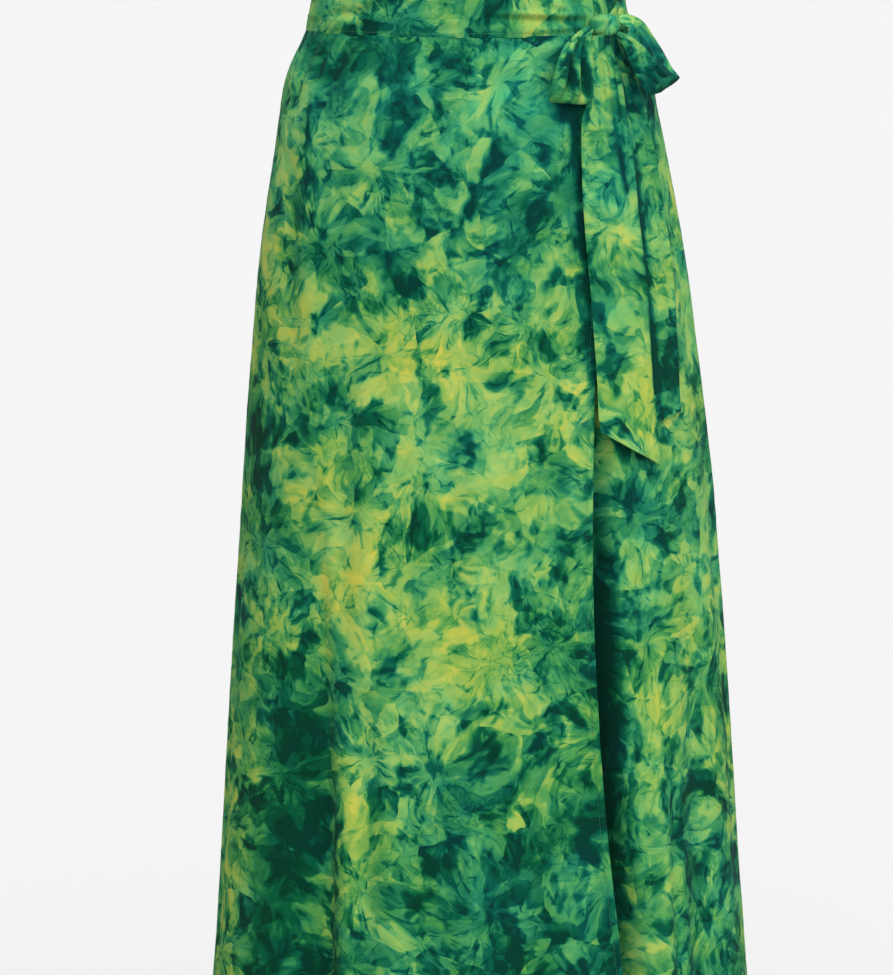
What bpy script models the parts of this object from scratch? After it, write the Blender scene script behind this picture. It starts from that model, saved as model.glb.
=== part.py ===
"""A long wrap skirt in soft woven cloth, worn but without its wearer, tied in a bow over one hip.

Metres, +Z up. The origin is the middle of the waist opening, a little under half way up the
waistband.
The front faces -Y. Every cloth surface is worked out in body places: a turn in degrees about Z,
0 at the middle of the front and growing towards +X, a height, and a distance out of the cloth.
"""

import bpy
import numpy as np


def table(columns, *rows):
    """A table of numbers as one array for each named column."""
    return dict(zip(columns.split(), np.array(rows, float).T))


# Driving sizes
BAND_TOP = 0.025
BAND_BOTTOM = -0.0155
HEM = -0.935
WALL = 0.0016  # the cloth of the panels
BAND_WALL = 0.0024  # the waistband is folded double
BAND_PROUD = 0.0008  # how far the band's face stands out of the panels' face
TIE_WALL = 0.0014
GAP = 0.0003  # between two pieces at a seam
LAP_GAP = 0.0008  # between the two layers of the wrap
ROUNDNESS = 2.15  # 2 is an ellipse, more is squarer

# The worn form: half the width, and how far the front and the back stand from the middle.
FORM = table(
    "height half_width front back shift",
    (-0.935, 0.2360, 0.1700, 0.1800, 0.0070),
    (-0.700, 0.2175, 0.1530, 0.1620, 0.0055),
    (-0.500, 0.2030, 0.1380, 0.1480, 0.0045),
    (-0.290, 0.1855, 0.1210, 0.1360, 0.0020),
    (-0.190, 0.1740, 0.1150, 0.1300, -0.0005),
    (-0.110, 0.1605, 0.1090, 0.1205, -0.0020),
    (-0.085, 0.1560, 0.1065, 0.1160, -0.0030),
    (-0.060, 0.1515, 0.1040, 0.1110, -0.0035),
    (-0.042, 0.1450, 0.1000, 0.1050, -0.0038),
    (-0.025, 0.1365, 0.0950, 0.0980, -0.0040),
    (0.000, 0.1292, 0.0910, 0.0930, -0.0045),
    (0.025, 0.1250, 0.0885, 0.0895, -0.0045),
)

# Valleys between the hanging folds. Each starts at its top, drifts from its top turn to its
# hem turn, and is as deep as stated at the hem. Before and after are its widths on the side
# of the smaller and of the larger turn.
FOLDS = table(
    "top_turn hem_turn top before after depth",
    (-168.0, -171.0, -0.200, 6.0, 7.5, 0.021),
    (-146.0, -149.0, -0.300, 7.0, 5.5, 0.017),
    (-124.0, -127.0, -0.170, 6.5, 7.0, 0.024),
    (-103.0, -107.0, -0.330, 5.0, 6.0, 0.018),
    (-80.0, -84.5, -0.330, 4.0, 3.5, 0.014),
    (-56.5, -45.4, -0.350, 14.0, 4.5, 0.033),
    (-30.0, -16.0, -0.480, 7.0, 9.0, 0.005),
    (16.0, 14.0, -0.420, 8.0, 7.0, 0.006),
    (70.0, 65.5, -0.380, 6.5, 8.0, 0.020),
    (97.0, 101.0, -0.300, 5.0, 6.5, 0.017),
    (119.0, 122.0, -0.180, 7.0, 6.0, 0.023),
    (141.0, 143.0, -0.350, 5.5, 6.5, 0.016),
    (163.0, 165.0, -0.230, 7.0, 6.0, 0.024),
)

FOLD_GROWTH = 1.1  # above 1 a fold deepens faster towards the hem
FOLD_START_WIDTH = 0.6  # its width at its top, as a share of that at the hem
FOLD_DRIFT = 3  # the higher, the sooner a fold has drifted to its hem turn

# The free edge of the over-lap, nearly plumb on a form that widens downwards, and how far the
# under-lap hangs back behind it.
LAP_EDGE = table(
    "height turn fall",
    (-0.935, 42.5, 0.034),
    (-0.780, 40.2, 0.034),
    (-0.640, 37.4, 0.033),
    (-0.490, 37.1, 0.027),
    (-0.340, 40.8, 0.015),
    (-0.200, 47.0, 0.005),
    (-0.090, 53.5, 0.000),
    (-0.025, 57.0, 0.000),
)
FALL_ASIDE = 2.0  # degrees past the edge where the under-lap hangs back furthest
FALL_BEFORE = 9.0
FALL_AFTER = 3.6

SIDE_TURN = 90.0  # the two side seams, either side of the front
LAP_START_SHARE = 0.52  # where the under-lap begins, as a share of the over-lap's width
LAP_COVER = 1.0  # degrees past the lap edge where the under-lap still lies at its full depth
LAP_STEP_OUT = 8.0  # degrees after that in which the under-lap comes out level

BAND_OVER_END = 60.0  # the band's end on the over-lap, under the knot
BAND_UNDER_END = -20.0
BAND_TUCK = (88.0, 66.0)  # between these turns the band dips under its other end

# The knot and what leaves it
KNOT_TURN = 60.5
KNOT_HEIGHT = -0.0075
KNOT_HALF = (0.0150, 0.0085, 0.0090)  # along the band, out of it, and up
KNOT_CREASES = 5
KNOT_CREASE_DEPTH = 0.0009

# Each stretch of a tie: where the middle of the strip lies, the strip's width, the way its
# width points (lean turns it up from level, tilt turns its far side out of the cloth), and how
# far its middle is cupped out of its two edges.
LOOP_LEFT = table(
    "turn height out width lean tilt cup",
    (53.4, -0.0105, 0.0115, 0.006, -45.0, 0.0, 0.000),
    (47.0, -0.0230, 0.0160, 0.016, -14.0, 0.0, 0.001),
    (42.6, -0.0410, 0.0180, 0.025, -9.0, 0.0, 0.002),
    (40.5, -0.0560, 0.0175, 0.030, -5.0, 0.0, 0.002),
    (40.0, -0.0640, 0.0150, 0.032, -5.0, 0.0, 0.001),
    (39.8, -0.0680, 0.0105, 0.029, -5.0, 0.0, 0.000),
    (40.0, -0.0640, 0.0060, 0.025, -5.0, 0.0, 0.000),
    (41.2, -0.0530, 0.0045, 0.020, -6.0, 0.0, 0.000),
    (44.2, -0.0380, 0.0045, 0.015, -7.0, 0.0, 0.000),
    (48.0, -0.0240, 0.0060, 0.010, -12.0, 0.0, 0.000),
    (54.0, -0.0140, 0.0075, 0.005, -45.0, 0.0, 0.000),
)
LOOP_RIGHT = table(
    "turn height out width lean tilt cup",
    (67.1, -0.0060, 0.0110, 0.007, 70.0, -14.0, 0.000),
    (69.6, -0.0094, 0.0165, 0.016, 49.0, -16.0, 0.000),
    (70.4, -0.0180, 0.0205, 0.026, 15.0, -1.0, 0.000),
    (72.6, -0.0364, 0.0206, 0.0275, -8.0, 7.0, 0.000),
    (73.3, -0.0510, 0.0210, 0.026, -4.0, 18.0, 0.000),
    (71.9, -0.0640, 0.0245, 0.029, 17.0, 24.0, 0.000),
    (67.7, -0.0570, 0.0270, 0.026, 12.0, 15.0, 0.001),
    (64.8, -0.0460, 0.0265, 0.021, 13.0, 7.0, 0.002),
    (63.2, -0.0350, 0.0250, 0.014, 21.0, 3.0, 0.002),
    (62.8, -0.0250, 0.0210, 0.009, 32.0, 0.0, 0.001),
    (63.4, -0.0174, 0.0140, 0.005, 20.0, 0.0, 0.000),
)
TAIL_FRONT = table(
    "turn height out width lean tilt cup",
    (57.8, -0.0172, 0.0095, 0.014, 0.0, 0.0, 0.001),
    (56.6, -0.0290, 0.0090, 0.019, -3.0, 0.0, 0.002),
    (55.8, -0.0390, 0.0070, 0.025, -3.0, 0.0, 0.002),
    (54.2, -0.0660, 0.0046, 0.031, -3.0, 0.0, 0.002),
    (52.7, -0.0870, 0.0039, 0.039, -3.0, 0.0, 0.002),
    (51.6, -0.1240, 0.0038, 0.044, -3.0, 0.0, 0.002),
    (51.0, -0.1640, 0.0038, 0.046, -3.0, 0.0, 0.002),
    (51.2, -0.2290, 0.0038, 0.047, -3.0, 0.0, 0.002),
    (50.8, -0.3020, 0.0038, 0.047, -6.0, 0.0, 0.002),
    (50.6, -0.3490, 0.0038, 0.056, -33.0, 0.0, 0.002),
)
TAIL_BACK = table(
    "turn height out width lean tilt cup",
    (64.8, -0.0175, 0.0065, 0.011, 0.0, 0.0, 0.001),
    (64.3, -0.0300, 0.0042, 0.017, -4.0, 0.0, 0.001),
    (63.6, -0.0490, 0.0026, 0.024, -4.0, 0.0, 0.0005),
    (63.5, -0.0720, 0.0018, 0.033, -4.0, 0.0, 0.000),
    (63.8, -0.1010, 0.0015, 0.041, -4.0, 0.0, 0.000),
    (63.5, -0.1400, 0.0015, 0.044, -4.0, 0.0, 0.000),
    (63.4, -0.2070, 0.0015, 0.047, -4.0, 0.0, 0.000),
    (61.4, -0.3000, 0.0015, 0.046, 0.0, 0.0, 0.000),
    (60.9, -0.3290, 0.0015, 0.047, 14.0, 0.0, 0.000),
)
LEAD = table(
    "turn height out width lean tilt cup",
    (65.8, -0.006, 0.0040, 0.011, 90.0, 0.0, 0.000),
    (72.0, -0.0035, 0.0030, 0.020, 90.0, 0.0, 0.000),
    (77.0, 0.0010, 0.0023, 0.028, 90.0, 0.0, 0.000),
    (83.0, 0.0040, 0.0020, 0.035, 90.0, 0.0, 0.000),
    (87.5, 0.0047, 0.0019, 0.037, 90.0, 0.0, 0.000),
)

# Fineness of the walls
PANEL_ROWS = 17
PANEL_ROW_GRADING = 1.5  # more than 1 puts more rows near the waist
BACK_COLUMNS = 60
OVER_COLUMNS = 46
SIDE_COLUMNS = 18
SIDE_COLUMN_GRADING = 1.3  # more than 1 puts more columns near the lap edge
BAND_STEP = 5.0
BAND_ROWS = 3
KNOT_MERIDIANS = 20
KNOT_STATIONS = 10
STRIP_COLUMNS = 6
STRIP_ROWS_EACH = 2  # for each interval of a stretch's table

# Print dye, as an average for each piece
CLOTH_COLOURS = {
    "back_panel": (0.072, 0.300, 0.130),
    "over_front_panel": (0.100, 0.350, 0.120),
    "under_front_panel": (0.072, 0.300, 0.130),
    "waistband": (0.080, 0.320, 0.140),
    "tie": (0.065, 0.290, 0.130),
}
CLOTH_ROUGHNESS = 0.78


def along(rows, column, at, by="height"):
    """The column's value at any place between the rows, on a smooth curve through all of them."""
    places = rows[by]
    values = rows[column]
    slopes = np.gradient(values, places)
    at = np.clip(at, places[0], places[-1])
    low = np.clip(np.searchsorted(places, at) - 1, 0, len(places) - 2)
    span = places[low + 1] - places[low]
    t = (at - places[low]) / span
    return (
        (2 * t**3 - 3 * t**2 + 1) * values[low]
        + (t**3 - 2 * t**2 + t) * span * slopes[low]
        + (3 * t**2 - 2 * t**3) * values[low + 1]
        + (t**3 - t**2) * span * slopes[low + 1]
    )


def eased(share):
    """0 to 1 with level ends."""
    share = np.clip(share, 0.0, 1.0)
    return share * share * (3 - 2 * share)


def form_point(turn, height):
    """A point of the worn form without folds: a squarish oval at this height."""
    angle = np.radians(turn)
    wide = along(FORM, "half_width", height)
    deep = np.where(
        np.cos(angle) > 0, along(FORM, "front", height), along(FORM, "back", height)
    )
    reach = (
        np.abs(np.sin(angle) / wide) ** ROUNDNESS
        + np.abs(np.cos(angle) / deep) ** ROUNDNESS
    ) ** (-1 / ROUNDNESS)
    x = along(FORM, "shift", height) + reach * np.sin(angle)
    return np.stack([x, -reach * np.cos(angle), height + 0 * reach], axis=-1)


def normals_of(point_at, turn, height):
    """Outward unit normals of a surface that is given as a function of turn and height."""
    step_turn = 0.05
    step_height = 0.0005
    across = point_at(turn + step_turn, height) - point_at(turn - step_turn, height)
    upwards = point_at(turn, height + step_height) - point_at(
        turn, height - step_height
    )
    outward = np.cross(across, upwards)
    return outward / np.linalg.norm(outward, axis=-1, keepdims=True)


def fold_depth(turn, height):
    """How far the cloth falls back between its hanging folds."""
    depth = np.zeros(np.broadcast(turn, height).shape)
    for i in range(len(FOLDS["top"])):
        fold = {column: values[i] for column, values in FOLDS.items()}
        grown = np.clip((fold["top"] - height) / (fold["top"] - HEM), 0, 1)
        centre = (
            fold["hem_turn"]
            + (fold["top_turn"] - fold["hem_turn"]) * (1 - grown) ** FOLD_DRIFT
        )
        away = (turn - centre + 180.0) % 360.0 - 180.0
        width = np.where(away < 0, fold["before"], fold["after"])
        width = width * (FOLD_START_WIDTH + (1 - FOLD_START_WIDTH) * grown)
        depth += fold["depth"] * grown**FOLD_GROWTH * np.exp(-((away / width) ** 2))
    return depth


def folded_point(turn, height):
    """The outer face of the panels: the form, fallen back by the valleys between its folds."""
    inward = -normals_of(form_point, turn, height) * [1, 1, 0]
    return (
        form_point(turn, height) + inward * fold_depth(turn, height)[..., np.newaxis]
    )


def cloth_point(turn, height, out):
    """A point that stands a distance out of the panels' outer face."""
    turn, height, out = np.broadcast_arrays(turn, height, out)
    return (
        folded_point(turn, height)
        + normals_of(folded_point, turn, height) * out[..., np.newaxis]
    )


def draped_point(turn, height, out):
    """A point that stands a distance out of the worn form, which spans the valleys."""
    turn, height, out = np.broadcast_arrays(turn, height, out)
    return (
        form_point(turn, height)
        + normals_of(form_point, turn, height) * out[..., np.newaxis]
    )


def cloth_material(name, colour):
    material = bpy.data.materials.new(name)
    material.use_nodes = True
    shader = material.node_tree.nodes["Principled BSDF"]
    shader.inputs["Base Color"].default_value = (*colour, 1.0)
    shader.inputs["Roughness"].default_value = CLOTH_ROUGHNESS
    shader.inputs["Metallic"].default_value = 0.0
    return material


def add_object(name, mesh, colour):
    mesh.materials.append(cloth_material(name + "_cloth", colour))
    mesh.shade_smooth()
    mesh.set_sharp_from_angle(angle=np.radians(50))
    obj = bpy.data.objects.new(name, mesh)
    bpy.context.scene.collection.objects.link(obj)
    return obj


def grid_faces(rows, columns, start, flipped):
    """Four-cornered faces between neighbouring points of a grid."""
    r, c = np.meshgrid(np.arange(rows - 1), np.arange(columns - 1), indexing="ij")
    corner = start + r * columns + c
    faces = np.stack(
        [corner, corner + columns, corner + columns + 1, corner + 1], axis=-1
    )
    faces = faces.reshape(-1, 4)
    return faces[:, [0, 3, 2, 1]] if flipped else faces


def rim_faces(rows, columns):
    """Faces that join the outer grid to the inner one round all four edges."""
    index = np.arange(rows * columns).reshape(rows, columns)
    ring = np.concatenate(
        [index[0, :-1], index[:-1, -1], index[-1, :0:-1], index[:0:-1, 0]]
    )
    following = np.roll(ring, -1)
    inner = rows * columns
    return np.stack([ring, following, following + inner, ring + inner], axis=-1)


def wall_object(name, outer, inner, colour):
    """One closed wall between two grids of points, which run down and towards larger turns."""
    rows, columns = outer.shape[:2]
    points = np.concatenate([outer.reshape(-1, 3), inner.reshape(-1, 3)])
    faces = np.concatenate(
        [
            grid_faces(rows, columns, 0, False),
            grid_faces(rows, columns, rows * columns, True),
            rim_faces(rows, columns),
        ]
    )
    mesh = bpy.data.meshes.new(name)
    mesh.from_pydata(points.tolist(), [], faces.tolist())
    return add_object(name, mesh, colour)


def panel_heights():
    """Rows from just under the band to the hem, closer together near the waist."""
    share = np.linspace(0, 1, PANEL_ROWS + 1) ** PANEL_ROW_GRADING
    top = BAND_BOTTOM - GAP
    return (top + (HEM - top) * share)[:, np.newaxis]


def seam_turn(height):
    """Half a seam's gap, in degrees, on the form's side at this height."""
    return np.degrees(GAP / 2 / along(FORM, "half_width", height))


def lap_turns(height):
    """The columns of the over-lap, from the side seam to its free edge."""
    share = np.linspace(0, 1, OVER_COLUMNS + 1)
    start = -SIDE_TURN + seam_turn(height)
    return start + (along(LAP_EDGE, "turn", height) - start) * share


def fall_back(turn, height):
    """How far the under-lap hangs back round the free edge of the over-lap."""
    away = turn - along(LAP_EDGE, "turn", height) - FALL_ASIDE
    width = np.where(away < 0, FALL_BEFORE, FALL_AFTER)
    return along(LAP_EDGE, "fall", height) * np.exp(-((away / width) ** 2))


def make_back_panel():
    height = panel_heights()
    half = SIDE_TURN - seam_turn(height)
    turn = 180.0 + half * np.linspace(-1, 1, BACK_COLUMNS + 1)
    outer = cloth_point(turn, height, 0.0)
    inner = cloth_point(turn, height, -WALL)
    return wall_object("back_panel", outer, inner, CLOTH_COLOURS["back_panel"])


def make_over_front_panel():
    height = panel_heights()
    turn = lap_turns(height)
    outer = cloth_point(turn, height, 0.0)
    inner = cloth_point(turn, height, -WALL)
    colour = CLOTH_COLOURS["over_front_panel"]
    return wall_object("over_front_panel", outer, inner, colour)


def make_under_front_panel():
    """It shares the over-lap's columns beneath it and comes out level some way past its edge."""
    height = panel_heights()
    beneath = lap_turns(height)[:, round(LAP_START_SHARE * OVER_COLUMNS) :]
    edge = beneath[:, -1:]
    end = SIDE_TURN - seam_turn(height)
    share = np.linspace(0, 1, SIDE_COLUMNS + 1)[1:] ** SIDE_COLUMN_GRADING
    beyond = edge + (end - edge) * share
    turn = np.concatenate([beneath, beyond], axis=1)
    tucked = 1 - eased((turn - edge - LAP_COVER) / LAP_STEP_OUT)
    depth = tucked * (WALL + LAP_GAP) + fall_back(turn, height)
    outer = cloth_point(turn, height, -depth)
    inner = cloth_point(turn, height, -depth - WALL)
    colour = CLOTH_COLOURS["under_front_panel"]
    return wall_object("under_front_panel", outer, inner, colour)


def make_waistband():
    """One strip: over the front, round the back, and on beneath its own start."""
    unrolled = np.arange(BAND_OVER_END, BAND_UNDER_END - 360.0 - 0.1, -BAND_STEP)[::-1]
    start, end = BAND_TUCK
    tucked = eased((start - 360.0 - unrolled) / (start - end))
    depth = tucked * (BAND_WALL + LAP_GAP)
    height = np.linspace(BAND_TOP, BAND_BOTTOM, BAND_ROWS + 1)[:, np.newaxis]
    outer = draped_point(unrolled, height, BAND_PROUD - depth)
    inner = draped_point(unrolled, height, BAND_PROUD - BAND_WALL - depth)
    return wall_object("waistband", outer, inner, CLOTH_COLOURS["waistband"])


def knot_frame():
    """The knot's directions (along the band, out, up) and its centre."""
    out = normals_of(form_point, KNOT_TURN, 0.0) * [1, 1, 0]
    out = out / np.linalg.norm(out)
    up = np.array([0.0, 0.0, 1.0])
    frame = np.array([np.cross(up, out) * -1, out, up])
    centre = draped_point(KNOT_TURN, KNOT_HEIGHT, BAND_PROUD + GAP) + out * KNOT_HALF[1]
    return frame, centre


def make_knot():
    """A rounded lump across the band, with shallow creases where the tie wraps it."""
    around, up = np.meshgrid(
        np.linspace(0, 2 * np.pi, KNOT_MERIDIANS + 1)[:-1],
        np.linspace(0, np.pi, KNOT_STATIONS + 1),
        indexing="ij",
    )
    crease = 1 - KNOT_CREASE_DEPTH / KNOT_HALF[2] * (
        1 + np.cos(KNOT_CREASES * around)
    ) * np.sin(up)
    ball = np.stack(
        [
            -np.cos(up),
            np.sin(up) * np.cos(around) * crease,
            np.sin(up) * np.sin(around) * crease,
        ],
        axis=-1,
    )
    frame, centre = knot_frame()
    points = centre + (ball * KNOT_HALF) @ frame
    return ball_object("tie_knot", points, CLOTH_COLOURS["tie"])


def ball_object(name, points, colour):
    """A closed ball from a grid of meridians, its two poles each one point."""
    meridians, stations = points.shape[:2]
    body = points[:, 1:-1]
    rings = body.shape[1]
    index = np.arange(meridians * rings).reshape(meridians, rings)
    after = np.roll(index, -1, axis=0)
    sides = np.stack([index[:, :-1], after[:, :-1], after[:, 1:], index[:, 1:]], axis=-1)
    first = meridians * rings
    caps = [(first, b, a) for a, b in zip(index[:, 0], after[:, 0])]
    caps += [(first + 1, a, b) for a, b in zip(index[:, -1], after[:, -1])]
    corners = np.concatenate([body.reshape(-1, 3), points[:1, 0], points[:1, -1]])
    mesh = bpy.data.meshes.new(name)
    faces = [tuple(map(int, face)) for face in (*sides.reshape(-1, 4), *caps)]
    mesh.from_pydata(corners.tolist(), [], faces)
    mesh.validate()
    return add_object(name, mesh, colour)


def strip_rows(rows):
    """Every column of a stretch at evenly spaced places along it."""
    count = len(rows["turn"])
    numbered = {**rows, "row": np.arange(count, dtype=float)}
    at = np.linspace(0, count - 1, (count - 1) * STRIP_ROWS_EACH + 1)
    return {column: along(numbered, column, at, by="row") for column in rows}


def make_strip(name, rows):
    """A flat tie along its stretch, laid out in body places so that it follows the form."""
    fine = {c: v[:, np.newaxis] for c, v in strip_rows(rows).items()}
    lean = np.radians(fine["lean"])
    tilt = np.radians(fine["tilt"])
    across = np.linspace(-0.5, 0.5, STRIP_COLUMNS + 1)
    aside = across * fine["width"]
    middle = form_point(fine["turn"], fine["height"])
    radius = np.linalg.norm(middle[..., :2], axis=-1)
    turn = fine["turn"] + np.degrees(aside * np.cos(lean) * np.cos(tilt) / radius)
    height = fine["height"] + aside * np.sin(lean) * np.cos(tilt)
    cupped = fine["cup"] * (1 - (2 * across) ** 2)
    sheet = draped_point(turn, height, fine["out"] + aside * np.sin(tilt) + cupped)
    path_way, width_way = np.gradient(sheet, axis=(0, 1))
    face = np.cross(path_way, width_way)
    face *= TIE_WALL / 2 / np.linalg.norm(face, axis=-1, keepdims=True)
    return wall_object(name, sheet + face, sheet - face, CLOTH_COLOURS["tie"])


def main():
    for obj in list(bpy.data.objects):
        bpy.data.objects.remove(obj)
    make_back_panel()
    make_over_front_panel()
    make_under_front_panel()
    make_waistband()
    make_knot()
    make_strip("tie_loop_left", LOOP_LEFT)
    make_strip("tie_loop_right", LOOP_RIGHT)
    make_strip("tie_tail_front", TAIL_FRONT)
    make_strip("tie_tail_back", TAIL_BACK)
    make_strip("tie_lead", LEAD)


main()
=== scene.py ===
"""The looks of a long wrap skirt: dyed cloth, sewing, bow and stage, laid over its solids.

Metres, +Z up, the front faces -Y. Every cloth surface is worked out in body places: a turn in
degrees about Z, 0 at the middle of the front and growing towards +X, a height, and a distance
out of the cloth. The worn form, its folds and the tie's stretches repeat the solids' own sizes.
"""

import bpy
import numpy as np
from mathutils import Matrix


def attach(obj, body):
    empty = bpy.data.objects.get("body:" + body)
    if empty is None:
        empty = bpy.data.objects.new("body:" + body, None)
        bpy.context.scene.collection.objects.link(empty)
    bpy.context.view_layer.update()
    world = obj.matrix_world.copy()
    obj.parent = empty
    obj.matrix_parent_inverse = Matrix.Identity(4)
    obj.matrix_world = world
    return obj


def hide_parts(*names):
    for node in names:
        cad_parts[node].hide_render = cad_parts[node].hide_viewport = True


bl_info = {
    "name": "Wrap skirt",
    "version": (1, 0, 0),
    "blender": (4, 5, 0),
    "location": "3D View > Sidebar > Wrap skirt",
    "description": "Dyed cloth, sewing, bow and stage for a long wrap skirt",
    "category": "Object",
}

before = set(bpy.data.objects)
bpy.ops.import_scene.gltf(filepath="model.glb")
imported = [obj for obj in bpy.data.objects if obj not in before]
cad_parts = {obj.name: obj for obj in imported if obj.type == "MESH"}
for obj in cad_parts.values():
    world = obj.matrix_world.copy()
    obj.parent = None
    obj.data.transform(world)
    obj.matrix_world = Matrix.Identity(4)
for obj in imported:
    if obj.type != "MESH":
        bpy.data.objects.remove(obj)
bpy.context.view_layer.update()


def table(columns, *rows):
    """A table of numbers as one array for each named column."""
    return dict(zip(columns.split(), np.array(rows, float).T))


# Sizes that the solids have too
BAND_TOP = 0.025
BAND_BOTTOM = -0.0155
HEM = -0.935
BAND_PROUD = 0.0008
LAP_DEPTH = 0.0024  # how far the under-lap's face lies beneath the over-lap's
BAND_LAP_DEPTH = 0.0032
ROUNDNESS = 2.15
SIDE_TURN = 90.0
LAP_START_SHARE = 0.52
LAP_COVER = 1.0
LAP_STEP_OUT = 8.0
BAND_OVER_END = 60.0
BAND_UNDER_END = -20.0
BAND_TUCK = (88.0, 66.0)
KNOT_TURN = 60.5
KNOT_HEIGHT = -0.0075
KNOT_HALF = (0.0150, 0.0085, 0.0090)
KNOT_GAP = 0.0003

FORM = table(
    "height half_width front back shift",
    (-0.935, 0.2360, 0.1700, 0.1800, 0.0070),
    (-0.700, 0.2175, 0.1530, 0.1620, 0.0055),
    (-0.500, 0.2030, 0.1380, 0.1480, 0.0045),
    (-0.290, 0.1855, 0.1210, 0.1360, 0.0020),
    (-0.190, 0.1740, 0.1150, 0.1300, -0.0005),
    (-0.110, 0.1605, 0.1090, 0.1205, -0.0020),
    (-0.085, 0.1560, 0.1065, 0.1160, -0.0030),
    (-0.060, 0.1515, 0.1040, 0.1110, -0.0035),
    (-0.042, 0.1450, 0.1000, 0.1050, -0.0038),
    (-0.025, 0.1365, 0.0950, 0.0980, -0.0040),
    (0.000, 0.1292, 0.0910, 0.0930, -0.0045),
    (0.025, 0.1250, 0.0885, 0.0895, -0.0045),
)

# Valleys between the hanging folds, each as deep as stated at the hem
FOLDS = table(
    "top_turn hem_turn top before after depth",
    (-168.0, -171.0, -0.200, 6.0, 7.5, 0.021),
    (-146.0, -149.0, -0.300, 7.0, 5.5, 0.017),
    (-124.0, -127.0, -0.170, 6.5, 7.0, 0.024),
    (-103.0, -107.0, -0.330, 5.0, 6.0, 0.018),
    (-80.0, -84.5, -0.330, 4.0, 3.5, 0.014),
    (-56.5, -45.4, -0.350, 14.0, 4.5, 0.033),
    (-30.0, -16.0, -0.480, 7.0, 9.0, 0.005),
    (16.0, 14.0, -0.420, 8.0, 7.0, 0.006),
    (70.0, 65.5, -0.380, 6.5, 8.0, 0.020),
    (97.0, 101.0, -0.300, 5.0, 6.5, 0.017),
    (119.0, 122.0, -0.180, 7.0, 6.0, 0.023),
    (141.0, 143.0, -0.350, 5.5, 6.5, 0.016),
    (163.0, 165.0, -0.230, 7.0, 6.0, 0.024),
)
FOLD_GROWTH = 1.1
FOLD_START_WIDTH = 0.6
FOLD_DRIFT = 3

# The free edge of the over-lap, and how far the under-lap hangs back behind it
LAP_EDGE = table(
    "height turn fall",
    (-0.935, 42.5, 0.034),
    (-0.780, 40.2, 0.034),
    (-0.640, 37.4, 0.033),
    (-0.490, 37.1, 0.027),
    (-0.340, 40.8, 0.015),
    (-0.200, 47.0, 0.005),
    (-0.090, 53.5, 0.000),
    (-0.025, 57.0, 0.000),
)
FALL_ASIDE = 2.0
FALL_BEFORE = 9.0
FALL_AFTER = 3.6

# Each stretch of a tie: where its middle lies, its width, the way its width points (lean turns
# it up from level, tilt turns its far side out) and how far its middle is cupped out.
LOOP_LEFT = table(
    "turn height out width lean tilt cup",
    (53.4, -0.0105, 0.0115, 0.006, -45.0, 0.0, 0.000),
    (47.0, -0.0230, 0.0160, 0.016, -14.0, 0.0, 0.001),
    (42.6, -0.0410, 0.0180, 0.025, -9.0, 0.0, 0.002),
    (40.5, -0.0560, 0.0175, 0.030, -5.0, 0.0, 0.002),
    (40.0, -0.0640, 0.0150, 0.032, -5.0, 0.0, 0.001),
    (39.8, -0.0680, 0.0105, 0.029, -5.0, 0.0, 0.000),
    (40.0, -0.0640, 0.0060, 0.025, -5.0, 0.0, 0.000),
    (41.2, -0.0530, 0.0045, 0.020, -6.0, 0.0, 0.000),
    (44.2, -0.0380, 0.0045, 0.015, -7.0, 0.0, 0.000),
    (48.0, -0.0240, 0.0060, 0.010, -12.0, 0.0, 0.000),
    (54.0, -0.0140, 0.0075, 0.005, -45.0, 0.0, 0.000),
)
LOOP_RIGHT = table(
    "turn height out width lean tilt cup",
    (67.1, -0.0060, 0.0110, 0.007, 70.0, -14.0, 0.000),
    (69.6, -0.0094, 0.0165, 0.016, 49.0, -16.0, 0.000),
    (70.4, -0.0180, 0.0205, 0.026, 15.0, -1.0, 0.000),
    (72.6, -0.0364, 0.0206, 0.0275, -8.0, 7.0, 0.000),
    (73.3, -0.0510, 0.0210, 0.026, -4.0, 18.0, 0.000),
    (71.9, -0.0640, 0.0245, 0.029, 17.0, 24.0, 0.000),
    (67.7, -0.0570, 0.0270, 0.026, 12.0, 15.0, 0.001),
    (64.8, -0.0460, 0.0265, 0.021, 13.0, 7.0, 0.002),
    (63.2, -0.0350, 0.0250, 0.014, 21.0, 3.0, 0.002),
    (62.8, -0.0250, 0.0210, 0.009, 32.0, 0.0, 0.001),
    (63.4, -0.0174, 0.0140, 0.005, 20.0, 0.0, 0.000),
)
TAIL_FRONT = table(
    "turn height out width lean tilt cup",
    (57.8, -0.0172, 0.0095, 0.014, 0.0, 0.0, 0.001),
    (56.6, -0.0290, 0.0090, 0.019, -3.0, 0.0, 0.002),
    (55.8, -0.0390, 0.0070, 0.025, -3.0, 0.0, 0.002),
    (54.2, -0.0660, 0.0054, 0.031, -3.0, 0.0, 0.002),
    (52.7, -0.0870, 0.0053, 0.039, -3.0, 0.0, 0.002),
    (51.6, -0.1240, 0.0057, 0.044, -3.0, 0.0, 0.002),
    (51.0, -0.1640, 0.0060, 0.046, -3.0, 0.0, 0.002),
    (51.2, -0.2290, 0.0056, 0.047, -3.0, 0.0, 0.002),
    (50.8, -0.3020, 0.0054, 0.047, -6.0, 0.0, 0.002),
    (50.6, -0.3490, 0.0066, 0.056, -33.0, 0.0, 0.002),
)
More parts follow.
